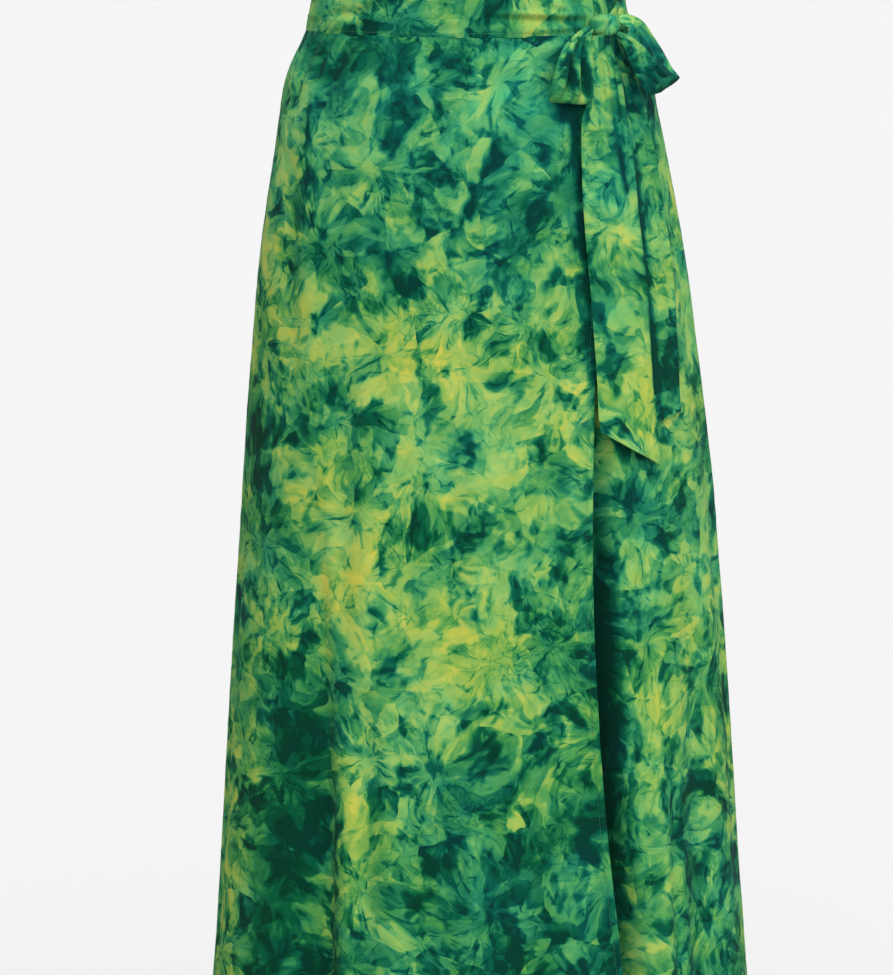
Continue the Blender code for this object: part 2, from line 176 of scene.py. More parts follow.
TAIL_BACK = table(
    "turn height out width lean tilt cup",
    (64.8, -0.0175, 0.0065, 0.011, 0.0, 0.0, 0.001),
    (64.3, -0.0300, 0.0042, 0.017, -4.0, 0.0, 0.001),
    (63.6, -0.0490, 0.0026, 0.024, -4.0, 0.0, 0.0005),
    (63.5, -0.0720, 0.0024, 0.033, -4.0, 0.0, 0.000),
    (63.8, -0.1010, 0.0028, 0.041, -4.0, 0.0, 0.000),
    (63.5, -0.1400, 0.0032, 0.044, -4.0, 0.0, 0.000),
    (63.4, -0.2070, 0.0030, 0.047, -4.0, 0.0, 0.000),
    (61.4, -0.3000, 0.0030, 0.046, 0.0, 0.0, 0.000),
    (60.9, -0.3290, 0.0042, 0.047, 14.0, 0.0, 0.000),
)
LEAD = table(
    "turn height out width lean tilt cup",
    (65.8, -0.006, 0.0040, 0.011, 90.0, 0.0, 0.000),
    (72.0, -0.0035, 0.0030, 0.020, 90.0, 0.0, 0.000),
    (77.0, 0.0010, 0.0023, 0.028, 90.0, 0.0, 0.000),
    (83.0, 0.0040, 0.0020, 0.035, 90.0, 0.0, 0.000),
    (87.5, 0.0047, 0.0019, 0.037, 90.0, 0.0, 0.000),
)

# Soft creases laid on the panels. Each runs from its strong end to where it dies out,
# bowed aside by a length, with a trough of this width and depth and a lip along its upper side.
CREASES = table(
    "turn_a height_a turn_b height_b bow width depth lip",
    # drag folds that run down and aside from the knot
    (53.0, -0.032, 12.0, -0.060, 0.006, 0.0060, 0.0026, 0.7),
    (52.0, -0.040, 6.0, -0.104, 0.009, 0.0085, 0.0026, 0.6),
    (51.0, -0.052, 20.0, -0.130, 0.008, 0.0075, 0.0022, 0.6),
    (50.0, -0.070, 29.0, -0.190, 0.006, 0.0080, 0.0020, 0.5),
    (48.0, -0.092, 36.0, -0.250, 0.003, 0.0070, 0.0018, 0.5),
    (54.0, -0.029, 24.0, -0.036, 0.002, 0.0045, 0.0016, 0.8),
    # short gathers under the band, uneven
    (-84.0, -0.0175, -83.0, -0.075, 0.001, 0.0045, 0.0014, 0.4),
    (-77.0, -0.0175, -76.0, -0.048, 0.000, 0.0040, 0.0026, 0.6),
    (-70.0, -0.0175, -72.0, -0.098, 0.002, 0.0050, 0.0022, 0.5),
    (-62.0, -0.0175, -64.0, -0.056, 0.001, 0.0040, 0.0026, 0.6),
    (-55.0, -0.0175, -60.0, -0.120, 0.003, 0.0065, 0.0019, 0.5),
    (-44.0, -0.0175, -47.0, -0.085, 0.001, 0.0050, 0.0014, 0.5),
    (-31.0, -0.0175, -37.0, -0.110, 0.002, 0.0060, 0.0012, 0.4),
    (-19.0, -0.0175, -22.0, -0.070, 0.001, 0.0045, 0.0010, 0.4),
    (-4.0, -0.0175, -8.0, -0.085, 0.001, 0.0050, 0.0011, 0.4),
    (9.0, -0.0175, 6.0, -0.062, 0.001, 0.0045, 0.0009, 0.4),
    # long shallow hollows between the folds of the front
    (-70.0, -0.120, -63.0, -0.380, 0.004, 0.0110, 0.0026, 0.5),
    (-46.0, -0.260, -38.0, -0.700, -0.006, 0.0130, 0.0028, 0.4),
    (-36.0, -0.520, -33.0, -0.930, 0.004, 0.0120, 0.0030, 0.5),
    (-12.0, -0.300, -8.0, -0.640, 0.005, 0.0140, 0.0022, 0.4),
    (3.0, -0.560, 1.0, -0.930, -0.005, 0.0130, 0.0030, 0.5),
    (27.0, -0.330, 27.0, -0.700, 0.004, 0.0110, 0.0026, 0.5),
    (33.0, -0.500, 34.5, -0.930, -0.003, 0.0090, 0.0030, 0.6),
    (22.0, -0.150, 20.0, -0.420, 0.003, 0.0120, 0.0016, 0.4),
    (54.6, -1.000, 59.0, -0.500, 0.001, 0.0065, 0.0046, 0.9),
    # the under-lap sinks behind the over-lap's edge and comes out again
    (42.2, -0.400, 39.9, -0.720, 0.000, 0.0055, 0.0044, 0.0),
    (45.4, -0.400, 43.2, -0.720, 0.000, 0.0045, -0.0030, 0.0),
    (76.0, -0.140, 80.0, -0.520, 0.004, 0.0090, 0.0024, 0.5),
    (84.0, -0.300, 84.0, -0.900, -0.003, 0.0090, 0.0030, 0.5),
    # the hip on both sides: small slanting pulls towards the seams
    (-89.0, -0.060, -66.0, -0.082, 0.003, 0.0050, 0.0013, 0.5),
    (-88.0, -0.105, -60.0, -0.140, 0.004, 0.0065, 0.0013, 0.5),
    (88.0, -0.070, 76.0, -0.110, 0.002, 0.0055, 0.0014, 0.5),
    # the back: gathers under the band, drag folds from the seams, long hollows
    (98.0, -0.0175, 100.0, -0.088, 0.001, 0.0055, 0.0016, 0.5),
    (109.0, -0.0175, 112.0, -0.120, 0.002, 0.0065, 0.0020, 0.5),
    (121.0, -0.0175, 122.0, -0.070, 0.001, 0.0045, 0.0013, 0.4),
    (134.0, -0.0175, 137.0, -0.105, 0.002, 0.0060, 0.0018, 0.5),
    (147.0, -0.0175, 148.0, -0.080, 0.001, 0.0050, 0.0014, 0.4),
    (158.0, -0.0175, 161.0, -0.125, 0.002, 0.0065, 0.0019, 0.5),
    (171.0, -0.0175, 172.0, -0.075, 0.001, 0.0045, 0.0013, 0.4),
    (-177.0, -0.0175, -179.0, -0.110, 0.002, 0.0060, 0.0017, 0.5),
    (-163.0, -0.0175, -164.0, -0.078, 0.001, 0.0050, 0.0014, 0.4),
    (-151.0, -0.0175, -154.0, -0.128, 0.002, 0.0065, 0.0020, 0.5),
    (-138.0, -0.0175, -139.0, -0.072, 0.001, 0.0045, 0.0013, 0.4),
    (-126.0, -0.0175, -129.0, -0.100, 0.002, 0.0060, 0.0018, 0.5),
    (-111.0, -0.0175, -113.0, -0.115, 0.002, 0.0060, 0.0018, 0.5),
    (-99.0, -0.0175, -100.0, -0.080, 0.001, 0.0050, 0.0014, 0.4),
    (92.0, -0.050, 132.0, -0.085, 0.005, 0.0070, 0.0018, 0.6),
    (92.0, -0.080, 124.0, -0.150, 0.006, 0.0080, 0.0018, 0.5),
    (-92.0, -0.075, -120.0, -0.120, 0.004, 0.0065, 0.0014, 0.5),
    (110.0, -0.240, 112.0, -0.640, 0.004, 0.0110, 0.0026, 0.5),
    (131.0, -0.330, 131.0, -0.800, -0.004, 0.0100, 0.0028, 0.5),
    (152.0, -0.280, 153.0, -0.700, 0.004, 0.0120, 0.0028, 0.5),
    (176.0, -0.350, 178.0, -0.900, -0.004, 0.0110, 0.0030, 0.5),
    (-157.0, -0.260, -158.0, -0.720, 0.004, 0.0110, 0.0026, 0.5),
    (-136.0, -0.400, -137.0, -0.900, -0.003, 0.0100, 0.0030, 0.5),
    (-114.0, -0.300, -116.0, -0.760, 0.004, 0.0110, 0.0028, 0.5),
    (-95.0, -0.420, -96.0, -0.900, 0.003, 0.0090, 0.0028, 0.5),
)

# The same for the waistband, where the tie's pull crumples it
BAND_CREASES = table(
    "turn_a height_a turn_b height_b bow width depth lip",
    (56.0, -0.0052, -1.0, 0.0000, 0.001, 0.0030, 0.0032, 0.9),
    (57.0, -0.0020, 30.0, 0.0200, 0.001, 0.0034, -0.0022, 0.0),
    (56.0, -0.0110, 16.0, -0.0150, -0.001, 0.0026, 0.0013, 0.7),
    (54.0, 0.0070, 38.0, 0.0230, 0.001, 0.0028, 0.0014, 0.6),
    (-88.0, -0.0042, -50.0, -0.0036, 0.001, 0.0026, -0.0015, 0.0),
    (-84.0, -0.0120, -34.0, 0.0100, 0.003, 0.0036, 0.0015, 0.7),
    (-66.0, -0.0180, -22.0, 0.0020, 0.002, 0.0034, 0.0013, 0.7),
    (-58.0, -0.0040, -26.0, 0.0200, 0.002, 0.0036, 0.0019, 0.6),
    (-86.0, 0.0040, -60.0, 0.0180, 0.002, 0.0034, 0.0012, 0.6),
    (-24.0, -0.0130, 4.0, -0.0070, 0.001, 0.0028, 0.0009, 0.6),
    (86.0, -0.0020, 128.0, 0.0040, 0.002, 0.0032, 0.0014, 0.7),
    (90.0, 0.0110, 118.0, 0.0160, 0.001, 0.0030, 0.0011, 0.6),
    (124.0, -0.0120, 152.0, -0.0050, 0.002, 0.0034, 0.0011, 0.6),
    (148.0, 0.0040, 176.0, 0.0120, 0.001, 0.0032, 0.0010, 0.6),
    (-150.0, 0.0020, -178.0, -0.0080, 0.002, 0.0034, 0.0011, 0.6),
    (-128.0, -0.0090, -158.0, 0.0060, 0.001, 0.0034, 0.0011, 0.6),
    (-96.0, 0.0060, -122.0, -0.0040, 0.002, 0.0036, 0.0013, 0.7),
)

CREASE_FADE_IN = 0.14  # the shares of a crease's length over which it comes and goes
CREASE_FADE_OUT = 0.60
LIP_PLACE = 1.7  # where the lip stands, in widths from the trough

# Soft lengthwise furrows of the tie's stretches: across from the middle at both ends, as a
# share of the width, the shares of the length it runs over, its width as a share, its depth
# (less than nothing for a ridge)
FURROW_COLUMNS = "across_a across_b start end width depth"
LOOP_LEFT_FURROWS = table(
    FURROW_COLUMNS,
    (-0.04, -0.15, 0.06, 0.46, 0.075, 0.0080),
    (0.20, 0.30, 0.04, 0.48, 0.085, 0.0085),
    (0.09, 0.10, 0.04, 0.44, 0.055, -0.0014),
    (-0.30, -0.36, 0.03, 0.30, 0.050, 0.0022),
    (-0.44, -0.46, 0.05, 0.50, 0.040, -0.0012),
    (0.02, 0.02, 0.56, 0.98, 0.120, 0.0014),
)
LOOP_RIGHT_FURROWS = table(
    FURROW_COLUMNS,
    (0.05, 0.10, 0.02, 0.46, 0.080, 0.0024),
    (-0.24, -0.18, 0.04, 0.40, 0.060, 0.0020),
    (-0.05, -0.14, 0.52, 0.98, 0.080, 0.0040),
    (0.22, 0.20, 0.56, 0.96, 0.060, 0.0032),
    (-0.33, -0.30, 0.60, 0.96, 0.050, 0.0022),
    (0.08, 0.05, 0.56, 0.98, 0.060, -0.0012),
)
TAIL_FRONT_FURROWS = table(
    FURROW_COLUMNS,
    (0.10, 0.24, 0.00, 0.62, 0.050, 0.0026),
    (-0.18, -0.10, 0.00, 0.40, 0.055, 0.0024),
    (0.33, 0.37, 0.02, 0.55, 0.035, 0.0016),
    (-0.34, -0.30, 0.05, 0.80, 0.045, 0.0016),
    (-0.04, 0.02, 0.00, 0.52, 0.055, -0.0022),
    (-0.46, -0.45, 0.10, 1.00, 0.050, -0.0016),
    (0.45, 0.46, 0.15, 0.95, 0.045, -0.0014),
    (0.02, 0.06, 0.40, 0.98, 0.080, 0.0012),
)
TAIL_BACK_FURROWS = table(
    FURROW_COLUMNS,
    (-0.06, 0.10, 0.00, 0.70, 0.060, 0.0017),
    (0.24, 0.30, 0.00, 0.55, 0.050, 0.0013),
    (-0.30, -0.24, 0.10, 0.95, 0.050, 0.0013),
    (0.10, 0.18, 0.00, 0.60, 0.050, -0.0018),
    (0.46, 0.46, 0.20, 0.98, 0.050, -0.0014),
    (0.12, 0.04, 0.50, 1.00, 0.070, 0.0010),
)
LEAD_FURROWS = table(
    FURROW_COLUMNS,
    (-0.20, -0.26, 0.00, 0.70, 0.070, 0.0010),
    (0.12, 0.20, 0.00, 0.80, 0.070, 0.0010),
)

# Where the print is lighter (+) or darker (-): soft pools in body places, most of them where the
# folded bundle took less dye or more. The narrow dark pools by the over-lap's free edge, under the
# left loop and beside the front tail are painted shade and shadow. Those left of the deep fold at
# the left hip, and one right of the under-lap's crest, are partly print and partly painted shade.
# The narrow light ones on two fold crests are painted highlights.
PRINT_SHADE_AND_LIGHT_POOLS = table(
    "turn height wide tall amount",
    (0.0, -0.850, 0.180, 0.150, -0.10),
    (0.0, -0.430, 0.170, 0.200, 0.055),
    (0.0, -0.060, 0.180, 0.110, -0.05),
    (70.0, -0.220, 0.050, 0.140, 0.13),
    (180.0, -0.820, 0.180, 0.150, -0.06),
    (180.0, -0.420, 0.170, 0.200, 0.05),
    (20.0, -0.075, 0.070, 0.045, 0.09),
    (-8.0, -0.165, 0.090, 0.050, -0.11),
    (-64.0, -0.120, 0.045, 0.085, 0.05),
    (-74.0, -0.270, 0.040, 0.090, 0.08),
    # partly print, partly painted shade in the hollow left of the deep fold
    (-55.0, -0.600, 0.032, 0.080, -0.22),
    (-26.0, -0.440, 0.070, 0.120, 0.12),
    (4.0, -0.530, 0.080, 0.130, 0.10),
    (28.0, -0.300, 0.050, 0.070, 0.08),
    (27.0, -0.425, 0.030, 0.045, -0.13),
    # partly print, partly painted shade in the hollow left of the deep fold
    (-59.0, -0.730, 0.040, 0.190, -0.26),
    # painted highlight along the crest of the fold at the left hip
    (-38.5, -0.700, 0.012, 0.150, 0.12),
    (30.0, -0.660, 0.050, 0.120, -0.12),
    (8.0, -0.840, 0.080, 0.080, -0.14),
    # painted shade: two narrow dark pools in the slot beside the over-lap's free edge
    (42.0, -0.590, 0.011, 0.230, -0.22),
    (41.2, -0.535, 0.008, 0.095, -0.40),
    (58.0, -0.600, 0.030, 0.120, 0.05),
    (70.0, -0.860, 0.050, 0.130, -0.14),
    (55.0, -0.300, 0.050, 0.120, 0.05),
    (140.0, -0.160, 0.100, 0.070, -0.11),
    (168.0, -0.430, 0.090, 0.140, 0.12),
    (-150.0, -0.300, 0.080, 0.120, 0.10),
    (-120.0, -0.650, 0.090, 0.200, -0.12),
    (130.0, -0.620, 0.080, 0.150, 0.08),
    (-170.0, -0.800, 0.100, 0.090, -0.13),
    (-78.0, -0.190, 0.040, 0.120, 0.13),
    (-12.0, -0.237, 0.095, 0.050, 0.18),
    (-66.0, -0.430, 0.035, 0.060, -0.12),
    (-68.0, -0.495, 0.030, 0.035, 0.16),
    (-81.0, -0.740, 0.030, 0.150, 0.14),
    (-72.0, -0.780, 0.024, 0.060, 0.20),
    (80.0, -0.300, 0.035, 0.110, 0.08),
    (84.0, -0.560, 0.030, 0.090, 0.12),
    (10.0, -0.580, 0.055, 0.055, -0.14),
    (-20.0, -0.515, 0.030, 0.035, -0.12),
    (48.0, -0.700, 0.018, 0.080, 0.14),
    # partly print, partly painted shade on the face turned away right of the under-lap's crest
    (61.0, -0.680, 0.020, 0.110, -0.14),
    # painted highlight along the under-lap's crest
    (53.8, -0.720, 0.006, 0.130, 0.14),
    (33.0, -0.110, 0.022, 0.016, 0.20),
    (4.0, -0.730, 0.035, 0.060, -0.14),
    (37.0, -0.735, 0.022, 0.035, -0.16),
    (-30.0, -0.062, 0.012, 0.034, -0.20),
    (-56.0, -0.055, 0.014, 0.024, -0.14),
    (-39.0, -0.112, 0.016, 0.020, 0.14),
    (-6.0, -0.035, 0.016, 0.018, -0.16),
    # painted shadow under the left loop
    (41.5, -0.076, 0.012, 0.008, -0.62),
    # painted shadow beside the front tail's left edge
    (42.3, -0.105, 0.004, 0.034, -0.34),
    (42.2, -0.190, 0.004, 0.050, -0.30),
    (42.0, -0.290, 0.005, 0.070, -0.34),
)

# Where the colour is cooler (+) or warmer (-), at the same depth of dye
COOL_POOLS = table(
    "turn height wide tall amount",
    (0.0, -0.050, 0.240, 0.130, 1.50),
    (66.0, -0.220, 0.060, 0.140, 0.90),
    (-66.0, -0.740, 0.080, 0.220, -2.00),
    (0.0, -0.420, 0.160, 0.180, -0.35),
    (8.0, -0.800, 0.160, 0.120, 0.20),
    (180.0, -0.060, 0.240, 0.120, 0.80),
    (150.0, -0.520, 0.160, 0.200, -0.35),
)

# The same on the bow. The dark pools in the left loop's two pleats, along the front tail's
# furrows, beside its right edge and on the right loop's lower end are painted shade and shadow,
# and the light ones on the right loop's top rim and the left loop's middle strand are painted
# highlights; the others lighten or darken the print.
TIE_PRINT_SHADE_AND_LIGHT_POOLS = table(
    "turn height wide tall amount",
    # painted shade on the right loop's lower end
    (71.5, -0.0600, 0.022, 0.018, -0.26),
    # painted highlight on the right loop's top rim
    (69.0, -0.0060, 0.020, 0.006, 0.16),
    (45.5, -0.0340, 0.007, 0.020, 0.10),
    (40.0, -0.0520, 0.012, 0.014, -0.08),
    # painted shade in the left loop's two pleats, and a painted highlight on the strand between
    # them
    (41.0, -0.0470, 0.003, 0.015, -0.45),
    (46.0, -0.0500, 0.003, 0.017, -0.50),
    (43.5, -0.0480, 0.002, 0.018, 0.16),
    (54.5, -0.0360, 0.008, 0.015, 0.16),
    (53.5, -0.1000, 0.018, 0.040, -0.10),
    # painted shade along the front tail's furrows
    (58.4, -0.0700, 0.0022, 0.028, -0.32),
    (56.3, -0.1250, 0.0022, 0.030, -0.32),
    # painted shadow of the front tail's right edge on the back tail
    (61.3, -0.1500, 0.0035, 0.070, -0.32),
    (61.0, -0.2700, 0.0040, 0.070, -0.42),
    (51.5, -0.1640, 0.018, 0.020, 0.14),
    (51.0, -0.2900, 0.030, 0.040, 0.06),
    (64.0, -0.1200, 0.014, 0.030, 0.08),
    (57.0, -0.2200, 0.090, 0.120, 0.11),
)

# Fineness of the walls
TOP_ZONE = 0.030
HEM_ZONE = 0.024
TOP_ROWS = 20
MIDDLE_ROWS = 188
HEM_ROWS = 24
SEAM_COLUMNS = 8
EDGE_COLUMNS = 12
BAND_STEP = 1.0
BAND_ROWS = 36
BAND_STITCH_ROW = 3
STITCH_STATIONS = 6
STITCH_AROUND = 5
STRIP_COLUMNS = 40
STRIP_ROWS_EACH = 16
KNOT_MERIDIANS = 96
KNOT_STATIONS = 64
SHARP_FROM = 60.0  # degrees between two faces

# The panels: the solid each stands for, its columns and the shares of its breadth where they
# lie close together, how its two ends are finished, where it is cut from the printed cloth,
# and its whole cut
PANELS = {
    "back": {
        "piece": "back_cloth",
        "node": "back_panel",
        "columns": 180,
        "close": (0.018, 0.018),
        "ends": {"start": "seam", "end": "seam"},
        "cut_from": (2.30, 1.10),
        "flat": (0.714, 0.918),
        "area": 0.518,
    },
    "over": {
        "piece": "over_front_cloth",
        "node": "over_front_panel",
        "columns": 172,
        "close": (0.020, 0.030),
        "ends": {"start": "seam", "end": "hem"},
        "cut_from": (0.10, 0.05),
        "flat": (0.479, 0.916),
        "area": 0.347,
    },
    "under": {
        "piece": "under_front_cloth",
        "node": "under_front_panel",
        "columns": 96,
        "close": (0.030, 0.030),
        "ends": {"start": "hem", "end": "seam"},
        "cut_from": (1.15, 0.62),
        "flat": (0.416, 0.918),
        "area": 0.307,
    },
}
PANEL_TUCK = 0.0009  # the panels' top edge runs up inside the band's wall
CLOTH_UV = "cloth"

# Soft swells of the panels: the length of one across and down the cloth, its share of the
# rumple, how far it sways aside, whether it grows towards the hem, and the seed of its draw
SWELLS = table(
    "across down share sway grows seed",
    (0.036, 0.260, 0.90, 0.5, 1, 11),
    (0.017, 0.110, 0.35, 0.5, 1, 12),
    (0.060, 0.045, 0.22, 0.0, 0, 13),
)
SWELL_LEVEL = -0.4  # where the lengths across are measured
SWELL_TOP = -0.05
SWELL_AT_TOP = 0.35
SWELL_GROWTH = 0.7
SWAY_LENGTH = 0.30
SWAY_SEED = 41

# Short gathers that the band's seam holds
GATHER_HEIGHT = 0.0011
GATHER_ACROSS = 0.0085
GATHER_DOWN = 0.05
GATHER_REACH = 0.020
GATHER_LEVEL = -0.03
GATHER_SEED = 31
TOP_DIP = 0.8 * PANEL_TUCK
TOP_DIP_REACH = 0.0050

# Hems, seams and what their stitches do to the cloth
WELT_HEIGHT = 0.00055
WELT_RISE = 0.0012
WELT_FALL = 0.0020
STITCH_DIP = 0.00045
STITCH_DIP_REACH = 0.0011
SEAM_DIP = 0.0011
SEAM_DIP_REACH = 0.0022
PUCKER_HEIGHT = 0.00042
PUCKER_LENGTH = 0.0065
PUCKER_SEED = 21
PUCKER_REACH = {"bottom": 0.012, "hem": 0.010, "seam": 0.007}
STITCH_SHARE = 0.76  # of the spacing of stitches; the rest is the gap
STITCH_ARCH = 0.45  # in threads
STITCH_SINK = 0.20
STITCH_THIN = 0.30  # how thick a stitch still is where it dives in

BAND_ROUNDING = 0.0012
EDGE_POWER = 8  # how late a wall that is rounded at its edges turns in
BAND_SWELL = 0.0005
BAND_SWELL_ACROSS = 0.021
BAND_SWELL_DOWN = 0.030
BAND_SWELL_SEED = 51
BAND_STITCH_DIP = 0.0003
BAND_STITCH_DIP_REACH = 0.0010
BAND_COOL = 0.8

STRIP_CUT_STEP = 0.37  # how far apart on the cloth two stretches were cut
STRIP_SEED = 60  # of the first stretch
STRIP_EDGE = 0.25  # the share of a tie's thickness at its edges
STRIP_SWELL = 0.0006
STRIP_SWELLS = 6  # across its width
STRIP_SWELL_LENGTH = 0.03
FURROW_FADE_IN = 0.15
FURROW_FADE_OUT = 0.30
GATHERED_WIDTH = 0.15  # a gathered tie's furrows get no shallower below this share of its width
TIE_COOL = 1.2
TIE_WARM_AT = -0.33  # the hanging ends lose the bow's coolness down to here

KNOT_TURNS = 1.6  # turns of the tie that show across half the knot
KNOT_SLANT = (0.55, 0.28)  # how far a turn lags, in half lengths, from back to front and up
KNOT_FULLNESS = 0.55  # the lower, the fuller each turn and the sharper the line between two
KNOT_LINE = 0.20  # the depth of that line, as a share of the radius
KNOT_BOXINESS = 3
KNOT_BLUNTNESS = 0.75
KNOT_TONE = 0.08

# The print: all scales in waves to a metre, all amounts as shares of the range from the
# deepest dye to the thinnest
BENDS = ((9.0, 0.055), (38.0, 0.013))  # how the whole print is bent, and how far
BURST_PETALS = (2.6, 3.0)  # petals round a burst, and breaks along one
FAN_PETALS = (1.8, 2.4)
PETAL_SHAKE = (1.3, 1.1)
PETAL_APART = 31.0  # takes the shapes of two cells from places far apart
PETAL_SOFTNESS = 0.25
PETAL_OPENS = (0.02, 0.24)  # shares of the spacing over which a fan opens from its centre
BURST_CORE = (0.10, 0.60)
BURST_AMOUNTS = {"streak": 0.30, "leaf": 0.26, "tone": 0.24, "drops": 0.20}
FAN_AMOUNTS = {"streak": 0.20, "leaf": 0.14, "drops": 0.15}
GROUND = 0.555
BLOTCHES = ((10.0, 0.62), (27.0, 0.26), (70.0, 0.22))
SPLASH_SCALE = 44.0
SPLASH_UPRIGHT = (1.0, 0.6, 1.0)
SPLASH_AMOUNT = 0.24
STREAK_DROPS = (0.42, 0.32)  # dark drops begin and are full where a streak falls to these
SPLASH_DROPS = (0.45, 0.34)
RIM_WIDTH = (0.01, 0.09)
RIM_VEIN = 0.6
CRACK_SCALE = 58.0
CRACK_WIDTH = (0.004, 0.030)
CRACK_PATCHES = 14.0
CRACK_WHERE = (0.46, 0.60)
VEIN_DARKENS = 0.10
DYE_STOPS = {
    "deep": 0.16,
    "teal": 0.342,
    "green": 0.456,
    "leaf": 0.565,
    "lime": 0.695,
    "gold": 0.880,
}
WARMTHS = ((8.0, 6.0), (21.0, 6.0), (62.0, 5.5))
WARMEST = -1.5  # yellow, but never orange
COOL_TAKES_RED = 0.15
COOL_ADDS_BLUE = 0.17

# The weave and the cloth's skin
GRAIN = 1600.0  # radians to a metre: a soft crossed grain of about 4 mm
GRAIN_SHAKE = (420.0, 0.0006)
SLUB_STRETCH = (900.0, 60.0, 0.0)
GRAIN_BUMP = (0.30, 0.00012)  # strength and distance
WRINKLE_STRETCH = (1.0, 0.35, 0.0)
WRINKLE_SCALE = 90.0
WRINKLE_BUMP = (0.35, 0.0012)
ROUGHNESS = 0.80
SLUB_ROUGHNESS = 0.16
CLOTH_SKIN = {"Specular IOR Level": 0.06, "Sheen Weight": 0.02, "Sheen Roughness": 0.55}
THREAD_PATCHES = 60.0
THREAD_TWIST = 2500.0
THREAD_BUMP = (0.3, 0.0001)
THREAD_ROUGHNESS = 0.55

# Where each slot's print starts, and how much less dye it took
CLOTHS = {
    "dyed_panels": ((0.0, 0.0, 0.0), 0.0),
    "dyed_band": ((0.37, 0.52, 0.0), -0.02),
    "dyed_ties": ((1.13, 0.71, 0.0), 0.0),
}

# The stage
FLOOR_REACH = 40.0
FLOOR_GLOW = 0.56
FLOOR_PATCHES = 1.5
FLOOR_PATCH_SHADE = 0.985
FLOOR_ROUGHNESS = 0.9
KEY_TURN = 15.0  # degrees to the right of the camera
KEY_RISE = 36.0
KEY_SPREAD = 74.0
BACK_TURN = 170.0
BACK_RISE = 62.0
BACK_SPREAD = 60.0
SIDE_LIGHT_TURN = 104.0
SIDE_LIGHT_RISE = 24.0
SIDE_LIGHT_SPREAD = 70.0
BACKDROP = 0.905  # what the camera sees of the sky, as bright as the floor
CAMERA_PLACE = (-0.0215, -4.5, 0.342)
CAMERA_AIM = (-0.0215, 0.0, -0.3976)
CAMERA_LENS = 202.06
CAMERA_SENSOR = 36.0


def linear(red, green, blue):
    """A screen colour of 0 to 255 as scene-linear light."""
    share = np.array((red, green, blue)) / 255.0
    lit = np.where(share <= 0.04045, share / 12.92, ((share + 0.055) / 1.055) ** 2.4)
    return tuple(float(value) for value in lit)


def length_property(name, description, default, least):
    return bpy.props.FloatProperty(
        name=name, description=description, default=default, min=least, unit="LENGTH"
    )


def strength_property(name, description, default):
    return bpy.props.FloatProperty(name=name, description=description, default=default, min=0.0)


def colour_property(name, description, default):
    return bpy.props.FloatVectorProperty(
        name=name,
        description=description,
        subtype="COLOR",
        size=3,
        min=0.0,
        max=1.0,
        default=default,
    )


class SkirtCloth(bpy.types.PropertyGroup):
    """Sizes of the cloth and its sewing."""

    wall: length_property("Cloth", "Thickness of the panels' cloth", 0.0009, 0.0003)
    band_wall: length_property(
        "Band", "Thickness of the waistband, which is folded double", 0.0022, 0.0006
    )
    tie_wall: length_property("Tie", "Thickness of a tie, a flat sewn tube", 0.0016, 0.0006)
    tie_width: length_property("Tie width", "Width of a tie where it lies flat", 0.047, 0.01)
    rumple: length_property("Rumple", "Height of the cloth's soft unevenness", 0.0011, 0.0)
    crease: bpy.props.FloatProperty(
        name="Creases",
        description="Share of the creases' full depth",
        default=1.0,
        min=0.0,
        max=1.5,
        subtype="FACTOR",
    )
    hem: length_property("Hem", "Width of the turned hem", 0.010, 0.002)
    edge_hem: length_property("Edge hem", "Width of the narrow hem on a free edge", 0.006, 0.002)
    stitch: length_property("Stitch", "Length of one stitch with its gap", 0.0030, 0.0015)
    thread: length_property("Thread", "Thickness of the sewing thread", 0.00040, 0.0001)


class SkirtDye(bpy.types.PropertyGroup):
    """Colours and sizes of the scrunch-dyed print."""

    deep: colour_property("Deep", "Darkest dye", linear(0, 58, 46))
    teal: colour_property("Teal", "Dark dye", linear(2, 92, 66))
    green: colour_property("Green", "The ground", linear(40, 128, 80))
    leaf: colour_property("Leaf", "Lighter ground", linear(78, 154, 86))
    lime: colour_property("Lime", "Thin dye", linear(135, 181, 92))
    gold: colour_property("Gold", "Thinnest dye", linear(181, 195, 92))
    burst: length_property(
        "Bursts", "Spacing of the bursts where the cloth was bunched", 0.100, 0.02
    )
    fan: length_property("Fans", "Spacing of the smaller leaf-like fans", 0.041, 0.01)


class SkirtStage(bpy.types.PropertyGroup):
    """Floor, light and camera."""

    floor_drop: length_property("Floor", "How far the floor lies under the hem", 0.085, 0.0)
    floor_colour: colour_property("Floor", "The pale floor", (0.30, 0.30, 0.302))
    sky: strength_property("Sky", "Strength of the even light all round", 0.20)
    key: strength_property("Key", "Strength of the soft main light", 3.0)
    back: strength_property("Back", "Strength of the light from behind", 1.0)
    side: strength_property("Sides", "Strength of each light from aside", 0.6)


def along(rows, column, at, by="height"):
    """The column's value at any place between the rows, on a smooth curve through all of them."""
    places = rows[by]
    values = rows[column]
    slopes = np.gradient(values, places)
    at = np.clip(at, places[0], places[-1])
    low = np.clip(np.searchsorted(places, at) - 1, 0, len(places) - 2)
    span = places[low + 1] - places[low]
    t = (at - places[low]) / span
    return (
        (2 * t**3 - 3 * t**2 + 1) * values[low]
        + (t**3 - 2 * t**2 + t) * span * slopes[low]
        + (3 * t**2 - 2 * t**3) * values[low + 1]
        + (t**3 - t**2) * span * slopes[low + 1]
    )


def eased(share):
    """0 to 1 with level ends."""
    share = np.clip(share, 0.0, 1.0)
    return share * share * (3 - 2 * share)


def hump(away, width):
    """A bell of height 1: e to the minus square of the distance over the width."""
    return np.exp(-((away / width) ** 2))


def rows_of(rows):
    """Each row of a table as a dictionary of its columns."""
    return [dict(zip(rows, values)) for values in zip(*rows.values())]


def turn_from(start, turn):
    """The way round from one turn to another, between -180 and 180 degrees."""
    return (turn - start + 180.0) % 360.0 - 180.0


